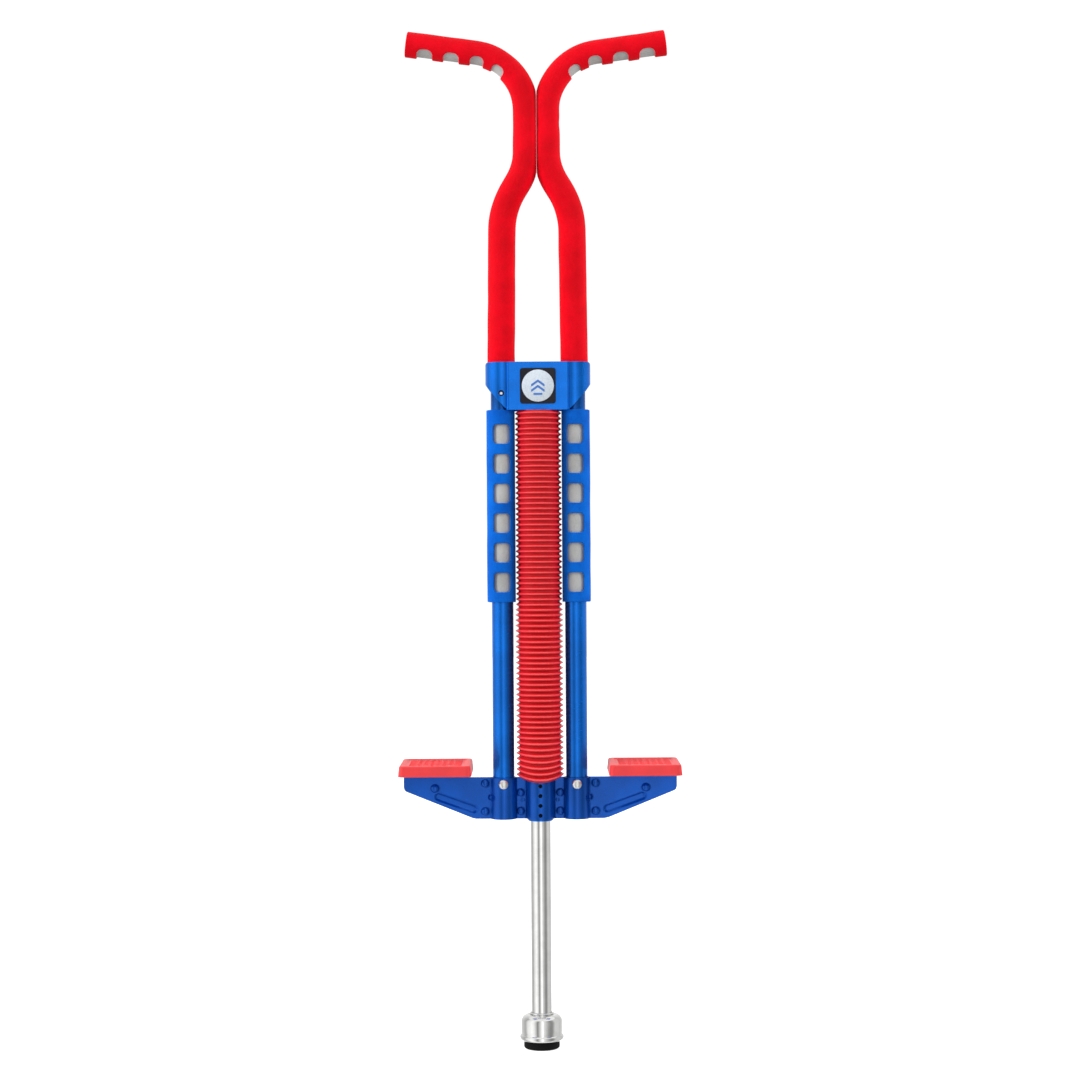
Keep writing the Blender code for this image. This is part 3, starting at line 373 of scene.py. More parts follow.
class Graph:
    def __init__(self, tree):
        self.tree = tree

    def add(self, kind, sockets=None, output=0, **settings):
        node = self.tree.nodes.new(kind)
        for key, value in settings.items():
            if key == "stops":
                ramp = node.color_ramp.elements
                for position, _ in value[1:-1]:
                    ramp.new(position)
                for element, (_, color) in zip(ramp, value):
                    element.color = (*color, 1)
            else:
                setattr(node, key, value)
        for key, value in (sockets or {}).items():
            if isinstance(value, Wire):
                self.tree.links.new(value.socket, node.inputs[key])
            else:
                node.inputs[key].default_value = value
        return Wire(self, node.outputs[output])

    def axes(self, vector):
        split = self.add("ShaderNodeSeparateXYZ", {0: vector})
        return [Wire(self, split.socket.node.outputs[i]) for i in range(3)]


class Finish(Graph):  # a material whose shader's fixed values are given by name
    def __init__(self, name, **fixed):
        self.material = bpy.data.materials.new(name)
        self.material.use_nodes = True
        super().__init__(self.material.node_tree)
        self.shader = self.tree.nodes["Principled BSDF"]
        for key, value in fixed.items():
            self.shader.inputs[key.replace("_", " ")].default_value = value
        self.place = self.add("ShaderNodeTexCoord", output="Object")

    def stretch(self, scale):  # object coordinates scaled by axis
        return self.add("ShaderNodeMapping", {"Vector": self.place, "Scale": scale})

    def noise(self, scale, detail=2.0, roughness=0.5, place=None):
        sockets = {"Vector": place or self.place, "Scale": scale, "Detail": detail, "Roughness": roughness}
        return self.add("ShaderNodeTexNoise", sockets)

    def cells(self, scale):
        return self.add("ShaderNodeTexVoronoi", {"Vector": self.place, "Scale": scale})

    def axes(self):
        return super().axes(self.place)

    def mix(self, factor, first, second):  # of two colours
        pair = [c if isinstance(c, Wire) else (*c, 1) for c in (first, second)]
        sockets = {0: factor, 6: pair[0], 7: pair[1]}
        return self.add("ShaderNodeMix", sockets, output=2, data_type="RGBA")

    def drive(self, **wires):
        for key, wire in wires.items():
            self.tree.links.new(wire.socket, self.shader.inputs[key.replace("_", " ")])

    def bump(self, *layers):  # (height, depth in metres), the finest last
        normal = None
        for height, depth in layers:
            sockets = {"Height": height, "Distance": depth, "Strength": 1.0}
            if normal:
                sockets["Normal"] = normal
            normal = self.add("ShaderNodeBump", sockets)
        self.drive(Normal=normal)


def tint(*screen):  # a screen colour as light
    return tuple(c / 255 / 12.92 if c < 11 else ((c / 255 + 0.055) / 1.055) ** 2.4 for c in screen)


def shade(color, amount):
    return tuple(min(1, c * amount) for c in color)


# metallic paint with a slight orange peel; given under, a painted shade darkens it just below the upper
# bracket's sloping edge
def paintFinish(name, color, roughness=0.24, metallic=0.6, under=None):
    f = Finish(name, Coat_Roughness=0.08, Coat_IOR=1.4, Specular_IOR_Level=0.25)
    cloud = f.noise(28, 3)
    flake = f.cells(3800)
    scuff = f.noise(160, 5, 0.7).between(0.60, 0.74)
    base = f.mix(cloud.between(0.3, 0.7), shade(color, 0.86), shade(color, 1.1))
    # painted shade: a dark band just below the bracket's sloping lower edge stands in for the bracket's
    # shadow on the tube
    if under:
        x, _, z = f.axes()
        level = z - (x.math("ABSOLUTE") - under["start"]) * under["slope"]
        edge = under["height"]
        band = level.between(edge - 0.035, edge) * (1 - level.between(edge, edge + 0.003))
        base = f.mix(band * 0.75, base, shade(color, 0.3))
    f.drive(
        Base_Color=f.mix(scuff * 0.25, base, shade(color, 1.7)),
        Roughness=cloud * 0.06 + flake * 0.08 + scuff * 0.12 + (roughness - 0.06),
        Metallic=flake * 0.15 + metallic,
        Coat_Weight=scuff * -0.1 + 0.2,
    )
    f.bump((f.noise(420, 2), 0.00006), (f.noise(1500, 1), 0.00001))
    return f.material


def foamFinish(name, color, dark, pore=1500, relief=0.00012):  # closed-cell foam with a skin
    f = Finish(name, Sheen_Weight=0.02, Sheen_Roughness=0.4, Specular_IOR_Level=0.1)
    cloud = f.noise(34, 4, 0.6)
    grain = f.noise(900, 3, 0.65)
    pores = f.cells(pore)
    tone = (cloud * 0.6 + grain * 0.4).between(0.36, 0.62)
    f.drive(
        Base_Color=f.mix(tone, dark, color),
        Roughness=grain * 0.2 + pores * 0.15 + 0.55,
    )
    f.bump((cloud, 0.0003), (grain, relief), (pores, relief * 0.8))
    return f.material


# soft gloss plastic, dull down in the grooves with painted shade there, and a painted highlight on the crests
def coverFinish(name, color, deep, paintedCrestHighlight, root, crest):
    f = Finish(name, Coat_Roughness=0.15, Coat_IOR=1.45)
    x, y, _ = f.axes()
    radius = (x * x + y * y) ** 0.5
    raised = radius.between(root, crest)
    cloud = f.noise(40, 3)
    dust = f.noise(700, 4, 0.7).between(0.5, 0.75)
    # painted shade: the deep colour darkens the grooves
    base = f.mix(raised, deep, f.mix(cloud, shade(color, 0.92), shade(color, 1.06)))
    # painted highlight: a lighter tint along the crests stands in for their gloss
    base = f.mix(raised.between(0.7, 1.0) * 0.7, base, paintedCrestHighlight)
    f.drive(
        Base_Color=base,
        Roughness=dust * 0.12 + (1 - raised) * 0.25 + 0.24,
        Coat_Weight=raised * 0.4,
    )
    f.bump((f.noise(220, 2), 0.00008), (f.noise(1800, 1), 0.00001))
    return f.material


def mouldedFinish(name, color, roughness=0.45, texture=1300, relief=0.00003, gloss=0.5):  # moulded plastic
    f = Finish(name, Specular_IOR_Level=gloss)
    cloud = f.noise(45, 3)
    grain = f.noise(texture, 3, 0.6)
    wear = f.noise(210, 5, 0.7).between(0.58, 0.74)
    base = f.mix(cloud.between(0.3, 0.7), shade(color, 0.93), shade(color, 1.05))
    f.drive(
        Base_Color=f.mix(wear * 0.2, base, shade(color, 1.35)),
        Roughness=grain * 0.16 + wear * 0.1 + (roughness - 0.08),
    )
    f.bump((cloud, 0.0001), (grain, relief))
    return f.material


def chromeFinish(name, color, roughness=0.07, drawn=(900, 900, 6)):  # polished plating with drawn streaks
    f = Finish(name, Metallic=1.0)
    streak = f.noise(1, 3, 0.6, f.stretch(drawn))
    smear = f.noise(60, 4, 0.6)
    f.drive(
        Base_Color=f.mix(smear.between(0.35, 0.7), color, shade(color, 0.9)),
        Roughness=streak * 0.05 + smear * 0.06 + (roughness - 0.04),
    )
    f.bump((f.noise(30, 2), 0.00003), (streak, 0.0000012))
    return f.material


def zincFinish(name, color, roughness=0.3):
    f = Finish(name, Metallic=1.0)
    spangle = f.cells(700)
    cloud = f.noise(120, 4, 0.6)
    f.drive(
        Base_Color=f.mix(cloud, shade(color, 0.9), shade(color, 1.08)),
        Roughness=cloud * 0.12 + spangle * 0.1 + (roughness - 0.1),
    )
    f.bump((f.noise(500, 3), 0.00002))
    return f.material


def discFinish(name, color, speck):  # printed white plastic with fine grey specks
    f = Finish(name, Coat_Weight=0.3, Coat_Roughness=0.1)
    grain = f.noise(1400, 3, 0.7).between(0.5, 0.68)
    cloud = f.noise(300, 2)
    f.drive(
        Base_Color=f.mix(grain * 0.7, color, speck),
        Roughness=cloud * 0.15 + 0.28,
    )
    f.bump((cloud, 0.00002))
    return f.material


colors = {
    "blue": tint(0, 108, 212),
    "deepBlue": tint(4, 82, 180),
    "redFoam": tint(238, 0, 26),
    "redFoamDark": tint(214, 0, 20),
    "blueFoam": tint(0, 106, 214),
    "blueFoamDark": tint(0, 84, 186),
    "greyFoam": tint(190, 191, 189),
    "greyFoamDark": tint(168, 169, 167),
    "cover": tint(234, 24, 36),
    # painted shade for the cover's grooves
    "coverGrooveShade": tint(182, 10, 20),
    # painted highlight for the cover's crests
    "coverPaintedHighlight": tint(252, 84, 88),
    "tread": tint(232, 56, 60),
    "chrome": (0.80, 0.80, 0.79),
    "zinc": (0.72, 0.72, 0.70),
    "mark": tint(70, 122, 200),
}

paint = paintFinish("blue_paint", colors["blue"])
# the frame tubes' paint carries the painted shade under the bracket's edge
shadedTubePaint = paintFinish("blue_paint_tube", colors["blue"],
                        under={"start": panelHalf, "slope": 1.05, "height": bracketBottom})
platePaint = paintFinish("blue_paint_pressed", colors["deepBlue"], 0.28, 0.5)
redFoam = foamFinish("red_foam", colors["redFoam"], colors["redFoamDark"])
blueFoam = foamFinish("blue_foam", colors["blueFoam"], colors["blueFoamDark"])
greyFoam = foamFinish("grey_foam", colors["greyFoam"], colors["greyFoamDark"], 1100, 0.0002)
chrome = chromeFinish("chrome", colors["chrome"])
zinc = zincFinish("zinc_steel", colors["zinc"])
redPlastic = mouldedFinish("red_tread", colors["tread"], 0.42)
blackPlastic = mouldedFinish("black_plastic", (0.008, 0.008, 0.014), 0.4, gloss=0.25)
nylon = mouldedFinish("nylon", (0.78, 0.77, 0.72), 0.5)
rubber = mouldedFinish("black_rubber", (0.004, 0.004, 0.004), 0.7, 900, 0.00008, 0.15)
discPlastic = discFinish("white_plastic", tint(216, 226, 236), tint(156, 166, 182))
markPaint = mouldedFinish("mark_paint", colors["mark"], 0.4)
print("materials made")


def painted(piece, finish):
    piece.data.materials.clear()
    piece.data.materials.append(finish)


def handOver(piece, body, slot, finish, *nodes):
    painted(piece, finish)
    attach(piece, body)
    if nodes:
        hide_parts(*nodes)


# foam sleeves with open windows over a grey core
handle = {
    "leanIn": 0.0017,
    "rises": (0.1566, 0.1979, 0.3089),  # of the three bends above the bracket
    "radii": (0.2, 0.079, 0.061, 0.0594),
    "plugDepth": 0.09,
    "touch": 0.0104,  # from the mid-plane to the uprights where they meet
    "reach": 0.1322,
    "slope": 7.7,
    "foam": 0.014,
    "grip": 0.013,
    "bore": 0.0098,
    "core": 0.0112,
    "coreSpan": (0.128, 0.004),  # back from the handle's end
    "window": 0.016,
    "windowPitch": 0.0273,
    "windowFirst": 0.0202,
    "windowDrop": 0.005,  # below the tube's centre
    "windowCorner": 0.0065,
    "windowEdge": 0.0008,
    "lip": 0.0009,
    "spacing": (0.004, 0.00055),  # of the mesh along the tube, coarse and fine
    "crowd": 0.002,  # how far from an edge the fine spacing reaches
    "turns": (math.radians(6), 0.04),
    "turnCrowd": 0.17,
    "tuck": 0.0085,
    "clear": 0.00003,
    "press": 0.0006,  # over this the two foams flatten softly where they meet
    "pinch": {"left": 0.0, "right": 0.0007},  # where the foam is nipped in below the grips
    "pinchRise": 0.2432,
    "pinchReach": 0.006,
    "swell": (0.00035, 40),  # height and scale of the skin's slow swells
    "coreEdge": 0.0006,
}

plug = {
    "stem": 0.0078,
    "head": 0.0094,
    "depths": (0.014, 0.0024, 0.0021, 0.0007),  # below the tube's end, from its foot up to its rim
    "dish": ((0.0060, 0.0004), (0.0055, 0.0009)),  # radius and depth
    "edge": 0.0005,
}


def handleRoute():
    x, top = halfSpacing, bracketTop
    first, second, third = (top + rise for rise in handle["rises"])
    run = handle["reach"] - handle["touch"]
    corners = (
        (x, tubeTop - handle["plugDepth"]),
        (x, top),
        (x - handle["leanIn"], first),
        (handle["touch"], second),
        (handle["touch"], third),
        (handle["reach"], third + run * math.tan(math.radians(handle["slope"]))),
    )
    return Route(corners, handle["radii"])


def onHandle(route, side, s, turn, radius):  # turn 0 is outside on the uprights and below on the grips
    centre, ahead = route.at(s), route.along(s)
    out = radius * np.cos(turn)
    x = centre[..., 0] + ahead[..., 1] * out
    z = centre[..., 1] - ahead[..., 0] * out
    past = x - handle["clear"]
    x = handle["clear"] + (past + np.sqrt(past ** 2 + handle["press"] ** 2)) / 2
    return np.stack((side * x, radius * np.sin(turn), z), axis=-1)


def windowDistance(windows, size, corner, scale):  # to the nearest rounded window, on the unrolled surface
    def distance(s, turn):
        best = np.full(np.shape(s), 1.0)
        for centre in windows:
            a = np.abs(s - centre) - size[0] / 2 + corner
            b = np.abs(turn) * scale - size[1] / 2 + corner
            outside = np.hypot(np.maximum(a, 0), np.maximum(b, 0))
            best = np.minimum(best, outside + np.minimum(np.maximum(a, b), 0) - corner)
        return best
    return distance


def windowedGrid(form, start, end, windows, length, halfAngle, scale):
    # stations and angles with the windows cut out, and how far the skin drops towards every edge
    size = (length, 2 * halfAngle * scale)
    edges = [w + shift * length / 2 for w in windows for shift in (-1, 1)]
    along = clustered(start, end, *form["spacing"], [start, *edges, end], form["crowd"])
    turns = clustered(-math.pi, math.pi, *form["turns"], [-halfAngle, halfAngle], form["turnCrowd"])[:-1]
    stations, angles = np.meshgrid(along, turns, indexing="ij")
    distance = windowDistance(windows, size, form["windowCorner"], scale)
    stations, angles, kept = openings(stations, angles, distance, wrap=True)
    ends = np.minimum(stations - start, end - stations)
    drop = np.maximum(roundedEdge(distance(stations, angles), form["windowEdge"]),
                      roundedEdge(ends, form["lip"]))
    return stations, angles, kept, drop


def unevenness(points, strength, scale):  # slow swells in a soft surface
    flat = points.reshape(-1, 3)
    swell = [noise.noise(Vector(p) * scale) for p in flat]
    return np.array(swell).reshape(points.shape[:2]) * strength


def makeHandle(name, side):
    route = handleRoute()
    end = route.length
    start = handle["plugDepth"] + bracketTop - handle["tuck"] - tubeTop
    windows = [end - handle["windowFirst"] - k * handle["windowPitch"] for k in range(4)]
    halfAngle = math.pi / 2 - math.asin(handle["windowDrop"] / handle["grip"])
    grid = windowedGrid(handle, start, end, windows, handle["window"], halfAngle, handle["grip"])
    stations, angles, kept, drop = grid
    line = route.at(stations)
    taper = smooth(line[..., 1], bracketTop + handle["rises"][1] - 0.02, bracketTop + handle["rises"][2])
    radius = handle["foam"] + (handle["grip"] - handle["foam"]) * taper
    nip = (line[..., 1] - bracketTop - handle["pinchRise"]) / handle["pinchReach"]
    radius = radius - handle["pinch"][name] * np.exp(-nip * nip)
    radius = radius + unevenness(onHandle(route, side, stations, angles, radius), *handle["swell"])
    outer = onHandle(route, side, stations, angles, radius - drop)
    overCore = smooth(stations, end - handle["coreSpan"][0] - 0.001, end - handle["coreSpan"][0])
    inside = handle["bore"] + (handle["core"] + gap - handle["bore"]) * overCore
    inner = onHandle(route, side, stations, angles, inside)
    foam = gridSolid(f"grip_foam_skin_{name}", outer, inner, kept, wrap=True)
    handOver(foam, "frame", "red_foam", redFoam, f"grip_foam_{name}")

    first, last = (end - back for back in handle["coreSpan"])
    s = clustered(first, last, 0.004, 0.0004, [first, last], 0.001)
    stations, angles = np.meshgrid(s, np.linspace(-math.pi, math.pi, 65)[:-1], indexing="ij")
    ends = np.minimum(stations - first, last - stations)
    outer = onHandle(route, side, stations, angles, handle["core"] - roundedEdge(ends, handle["coreEdge"]))
    inner = onHandle(route, side, stations, angles, np.full(stations.shape, handle["bore"]))
    core = gridSolid(f"grip_core_skin_{name}", outer, inner, np.ones((len(s) - 1, 64), bool), wrap=True)
    handOver(core, "frame", "grey_foam", greyFoam, f"grip_core_{name}")


def makePlug(name, side):
    foot, under, step, rim = (-depth for depth in plug["depths"])
    body = [(plug["stem"], foot), (plug["stem"], under), (plug["head"], step), (plug["head"], rim)]
    dish = [(radius, -depth) for radius, depth in plug["dish"]]
    profile = [(0, foot), *softened(body, plug["edge"], False), *dish, (0, dish[-1][1])]
    cap = turnedShape(f"handle_plug_cap_{name}", profile, 48)
    route = handleRoute()
    tip, ahead = route.at(route.length), route.along(route.length)
    tilt = side * (math.pi / 2 - math.atan2(ahead[1], ahead[0]))
    turnedTo(cap, Matrix.Translation((side * tip[0], 0, tip[1])) @ Matrix.Rotation(tilt, 4, "Y"))
    handOver(cap, "frame", "black_plastic", blackPlastic, f"handle_plug_{name}")


for name, side in sides.items():
    makeHandle(name, side)
    makePlug(name, side)
print("handles made")


# foam pads on the frame tubes
pad = {
    "radius": 0.0155,
    "bore": 0.0129,
    "core": 0.0126,
    "coreBore": tubeRadius + gap,
    "pressed": 0.0238,  # from the mid-plane to the flattened side
    "width": 0.0174,
    "height": 0.0197,
    "pitch": 0.03014,
    "first": 0.0247,
    "windowCorner": 0.0040,
    "windowEdge": 0.0005,
    "lip": 0.0009,
    "spacing": (0.004, 0.0005),
    "crowd": 0.0018,
    "turns": (math.radians(6), 0.035),
    "turnCrowd": 0.14,
    "swell": (0.00025, 45),
}


def makePad(name, side):
    bottom, top = span(f"pad_foam_{name}")
    windows = [top - pad["first"] - k * pad["pitch"] for k in range(6)]
    halfAngle = math.asin(pad["width"] / 2 / pad["radius"])
    grid = windowedGrid(pad, bottom, top, windows, pad["height"], halfAngle, pad["radius"])
    stations, angles, kept, drop = grid

    def around(radius, turn=angles):  # turn 0 faces the front
        x = halfSpacing + radius * np.sin(turn)
        x = np.maximum(x, pad["pressed"])
        return np.stack((side * x, -radius * np.cos(turn), stations), axis=-1)

    full = np.full(stations.shape, pad["radius"])
    full = full + unevenness(around(full), *pad["swell"])
    straight = math.asin(pad["width"] / 2 / pad["bore"])  # the cut walls run straight back
    rims = [-math.pi, -halfAngle, halfAngle, math.pi]
    inside = np.interp(angles, rims, [-math.pi, -straight, straight, math.pi])
    inner = around(np.full(full.shape, pad["bore"]), inside)
    foam = gridSolid(f"pad_foam_skin_{name}", around(full - drop), inner, kept, True)
    handOver(foam, "frame", "blue_foam", blueFoam, f"pad_foam_{name}")
    ring = ringOutline(pad["core"], pad["coreBore"], *span(f"pad_core_{name}"))
    core = turnedShape(f"pad_core_skin_{name}", ring, 72, (side * halfSpacing, 0))
    handOver(core, "frame", "grey_foam", greyFoam, f"pad_core_{name}")


for name, side in sides.items():
    makePad(name, side)
print("pads made")


# turned metal and rubber pieces
crown = {"cap": 0.0190, "neck": 0.0110, "bore": 0.0090, "neckLength": 0.007, "roof": 0.0005, "edge": 0.0004}


def makeCrown():  # its cap sits inside the cover's top
    bottom, top = low("crown_plate").z, bracketBottom - gap
    under = bottom + crown["neckLength"]
    hollow = under - crown["roof"]
    wide, narrow, bore = crown["cap"], crown["neck"], crown["bore"]
    outline = [(0, top), (wide, top), (wide, under), (narrow, under), (narrow, bottom)]
    outline += [(bore, bottom), (bore, hollow), (0, hollow)]
    cap = turnedShape("crown_cap", softened(outline, crown["edge"], False))
    handOver(cap, "frame", "blue_paint", paint, "crown_plate")


tubeBore = 0.0098
bolt = {
    "head": 0.005,
    "flatness": 0.62,
    "shank": 0.0028,
    "seat": 0.0132,  # the outside of the channel, with its gap
    "back": -0.0178,
}


def makeTubes():
    bottom = low("frame_tube_right").z
    for name, side in sides.items():
        outline = ringOutline(tubeRadius, tubeBore, bottom, tubeTop)
        tube = turnedShape(f"frame_tube_skin_{name}", outline, 96, (side * halfSpacing, 0))
        handOver(tube, "frame", "blue_paint", shadedTubePaint, f"frame_tube_{name}")
        head, shank, seat, back = (bolt[key] for key in ("head", "shank", "seat", "back"))
        dome = [(p.x, seat + (p.y - seat) * bolt["flatness"]) for p in arc((0, seat), head, 90, 14, 8)]
        profile = [*dome, (head, seat), (shank, seat), (shank, back), (0, back)]
        dome = turnedShape(f"tube_bolt_dome_{name}", profile, 48)
        turnedTo(dome, facing((side * halfSpacing, 0, middle(f"tube_bolt_{name}").z)))
        handOver(dome, "frame", "zinc_steel", zinc, f"tube_bolt_{name}")


guide = {"sleeve": (0.01275, 0.0119), "bush": (0.0116, 0.0106), "edge": 0.0003}  # outside and inside radius


def makeGuide():
    bottom, top = span("guide_sleeve")
    sleeve = turnedShape("guide_sleeve_skin", ringOutline(*guide["sleeve"], bottom, top, guide["edge"]), 96)
    handOver(sleeve, "frame", "blue_paint", paint, "guide_sleeve")
    bush = ringOutline(*guide["bush"], bottom + gap, top - gap, guide["edge"])
    handOver(turnedShape("guide_bushing_skin", bush, 96), "frame", "nylon", nylon, "guide_bushing")


plunger = {"outside": 0.0103, "bore": 0.0088, "edge": 0.0004}
neck = {"bore": 0.0106, "outside": 0.0122, "top": 0.0112, "band": 0.0009}
cup = {
    "top": high("tip_cup").z,
    "bottom": low("tip_cup").z,
    "bore": 0.0106,
    "lip": 0.0125,
    "groove": (0.0138, 0.0006),  # round the lip: its outside and its depth
    "slant": 0.0002,
    "wall": 0.0209,
    "flange": high("tip_cup").x,
    "bead": 0.0032,
    "beadRise": 0.0044,
    "beadNeck": ((0.0, 0.0052), (0.0003, 0.0038)),  # inset from the wall, and height above the bead
    "foot": 0.0187,
    "hollow": 0.0162,
    "ceiling": high("rubber_tip").z + gap,
}


def cupOutline():
    side, depth = cup["groove"]
    shoulder = cup["wall"] - side
    beadZ, top = cup["bottom"] + cup["beadRise"], cup["top"]
    bore, lip, slant = cup["bore"], cup["lip"], cup["slant"]
    outline = [(bore, top), (lip, top), (lip + slant, top - depth), (side - slant, top - depth)]
    outline += arc((side, top - shoulder - slant), shoulder, 90, 0, 20)
    outline += [(cup["wall"] - inset, beadZ + rise) for inset, rise in cup["beadNeck"]]
    outline += arc((cup["flange"] - cup["bead"], beadZ), cup["bead"], 58, -64, 12)
    outline += [(cup["foot"], cup["bottom"]), (cup["hollow"], cup["bottom"])]
    return [*outline, (cup["hollow"], cup["ceiling"]), (bore, cup["ceiling"])][::-1]


def makePlunger():
    tube = ringOutline(plunger["outside"], plunger["bore"], *span("plunger_tube"))
    bottom, top = span("neck_ring")
    ring = [(neck["bore"], bottom), (neck["outside"], bottom), (neck["outside"], bottom + neck["band"])]
    ring += [(neck["top"], top), (neck["bore"], top)]
    outlines = {
        "plunger_tube": tube,
        "tip_cup": softened(cupOutline(), plunger["edge"]),
        "neck_ring": softened(ring, plunger["edge"]),
    }
    for node, outline in outlines.items():
        handOver(turnedShape(f"{node}_skin", outline, 128), "plunger", "chrome", chrome, node)


tip = {
    "edge": 0.0025,
    "tread": 0.0008,  # depth of the grooves in the sole
    "grooves": ((0.0, 0.0055, 0.0058), (0.0095, 0.0098, 0.0108, 0.0111)),  # radii at their rims and floors
    "plug": 0.0159,
    "softness": 0.0003,
}


def makeTip():
    radius, edge, top = high("rubber_tip").x, tip["edge"], cup["bottom"] - gap
    (centre, inner, innerRim), (rim, start, end, outerRim) = tip["grooves"]
    deep = tip["tread"]
    profile = [(centre, deep), (inner, deep), (innerRim, 0), (rim, 0)]
    profile += [(start, deep), (end, deep), (outerRim, 0)]
    profile += arc((radius - edge, edge), edge, -90, 0, 8)
    plugTop = high("rubber_tip").z
    profile += [(radius, top), (tip["plug"], top), (tip["plug"], plugTop), (0, plugTop)]
    sole = turnedShape("rubber_tip_skin", softened(profile, tip["softness"], False), 96)
    handOver(sole, "plunger", "black_rubber", rubber, "rubber_tip")


makeCrown()
makeTubes()
makeGuide()
makePlunger()
makeTip()
print("turned pieces made")


# the upper bracket and the foot plates are bent sheet
def smoothLine(points, spacing):  # evenly spaced points along a polyline, and their outward normals
    points = np.array([tuple(p) for p in points])
    run = np.concatenate(([0], np.cumsum(np.linalg.norm(np.diff(points, axis=0), axis=1))))
    count = math.ceil(run[-1] / spacing)
    at = np.linspace(0, run[-1], count + 1)
    line = np.stack([np.interp(at, run, points[:, i]) for i in (0, 1)], axis=-1)
    ahead = np.gradient(line, axis=0)
    ahead /= np.linalg.norm(ahead, axis=1, keepdims=True)
    return line, np.stack((ahead[:, 1], -ahead[:, 0]), axis=-1)


def bentSheet(name, line, normal, bottom, top, rows, offsets, relief=None, holes=None, way=1):
    # bottom and top are heights at each column; relief moves the sheet outwards; way -1 makes the rear one
    share = np.linspace(0, 1, rows + 1)[:, None]
    x = np.broadcast_to(line[:, 0], (rows + 1, len(line))).copy()
    z = bottom + (top - bottom) * share
    kept = np.ones((rows, len(line) - 1), bool)
    base = x.copy()
    if holes:
        x, z, kept = openings(x, z, holes)
    lift = relief(x, z) if relief else 0
    slope = np.gradient(line[:, 1], line[:, 0] + 1e-9)
    grids = []
    for offset in offsets:
        px = x + normal[:, 0] * (offset + lift)
        py = line[:, 1] + normal[:, 1] * (offset + lift) + (x - base) * slope
        grids.append(np.stack((px, way * py, z), axis=-1))
    return gridSolid(name, grids[0], grids[1], kept)


bracket = {
    "middle": 0.0154,  # radius of the sheet's middle round each tube
    "thickness": 0.0018,
    "panelDepth": 0.0163,
    "panelEdge": 0.0012,
    "step": 0.0012,
    "cut": 0.0265,  # how far the lower edge rises towards the ears, and how it curves
    "cutCurve": 1.25,
    "topCorner": 0.0035,
    "drop": 0.001,  # of its lower edge, which covers the crown plate's place
    "screwHole": 0.003,
    "edge": 0.0007,
}


def bracketLine():
    radius = bracket["middle"]
    inner = math.degrees(math.acos((halfSpacing - panelHalf - bracket["step"]) / radius))
    meet = math.degrees(math.asin(gap / 2 / radius))
    left = arc((-halfSpacing, 0), radius, 180 + meet, 360 - inner, 60)
    corners = [Vector((side * panelHalf, -bracket["panelDepth"])) for side in (-1, 1)]
    right = [Vector((-p.x, p.y)) for p in reversed(left)]
    panel = softened([*left[-2:], *corners, *right[:2]], bracket["panelEdge"], False, 6)
    return left[:-1] + panel[1:-1] + right[1:]


def makeBracket():
    line, normal = smoothLine(bracketLine(), 0.0006)
    across = np.abs(line[:, 0])
    end = across.max()
    out = np.maximum(across - panelHalf, 0) / (end - panelHalf)
    bottom = bracketBottom - bracket["drop"] + bracket["cut"] * out ** bracket["cutCurve"]
    top = bracketTop - roundedEdge(end - across, bracket["topCorner"]) * 0.8
    half = bracket["thickness"] / 2
    for name, way, side in (("front", 1, -1), ("rear", -1, 1)):
        screw = middle("bracket_screw_left" if side < 0 else "bracket_screw_right")

        def hole(x, z):
            return np.hypot(x - screw.x, z - screw.z) - bracket["screwHole"]

        shell = bentSheet(f"upper_bracket_skin_{name}", line, normal, bottom, top, 62, (half, -half),
                          holes=hole, way=way)
        bevelled(shell, bracket["edge"], 3)
        handOver(shell, "frame", "blue_paint", paint, f"upper_bracket_{name}")


badge = {
    "corner": 0.0028,
    "edges": ((0, 0.0005), (0.00015, 0.00015), (0.0005, 0)),  # inset, and depth below the face
    "discEdge": (0.0003, 0.0002),
    "points": (0.0062, 0.0008),  # heights of the two chevrons' points above the centre
    "halfWidth": 0.0068,
    "rise": 0.0048,
    "stroke": 0.0026,
    "bar": (0.0046, -0.0074, -0.0095),  # half width, top and bottom
    "rounding": (0.0004, 0.0009),  # of the chevrons and the bar
    "markDepth": 0.00012,
}


def chevron(z):
    wide, low, stroke = badge["halfWidth"], z - badge["rise"], badge["stroke"]
    return [(0, z), (wide, low), (wide, low - stroke), (0, z - stroke), (-wide, low - stroke), (-wide, low)]


def makeBadge():
    face, back = low("badge_plate").y, high("badge_plate").y
    centre = middle("badge_plate")
    size = high("badge_plate").x - low("badge_plate").x
    turn = facing((0, 0, centre.z))
    rings = []
    for inset, depth in ((0, -back), *((inset, -face - below) for inset, below in badge["edges"])):
        rings.append(roundedLoop(size - 2 * inset, size - 2 * inset, badge["corner"], depth))
    plate = turnedTo(stacked("badge_plate_skin", rings), turn)
    handOver(plate, "frame", "black_plastic", blackPlastic, "badge_plate")
    back, face = -high("badge_disc").y, -low("badge_disc").y
    radius = high("badge_disc").x
    inset, below = badge["discEdge"]
    profile = [(0, back), (radius, back), (radius, face - below), (radius - inset, face), (0, face)]
    disc = turnedTo(turnedShape("badge_disc_skin", profile, 96), turn)
    handOver(disc, "frame", "white_plastic", discPlastic, "badge_disc")
    soft, barSoft = badge["rounding"]
    marks = [softened(chevron(centre.z + height), soft) for height in badge["points"]]
    half, above, under = badge["bar"]
    bar = [(-half, above), (half, above), (half, under), (-half, under)]
    marks.append(softened([(x, centre.z + z) for x, z in bar], barSoft))
    mark = extruded("badge_mark", marks, -face, -face - badge["markDepth"])
    handOver(mark, "frame", "white_plastic", markPaint)


makeBracket()
makeBadge()
print("bracket and badge made")

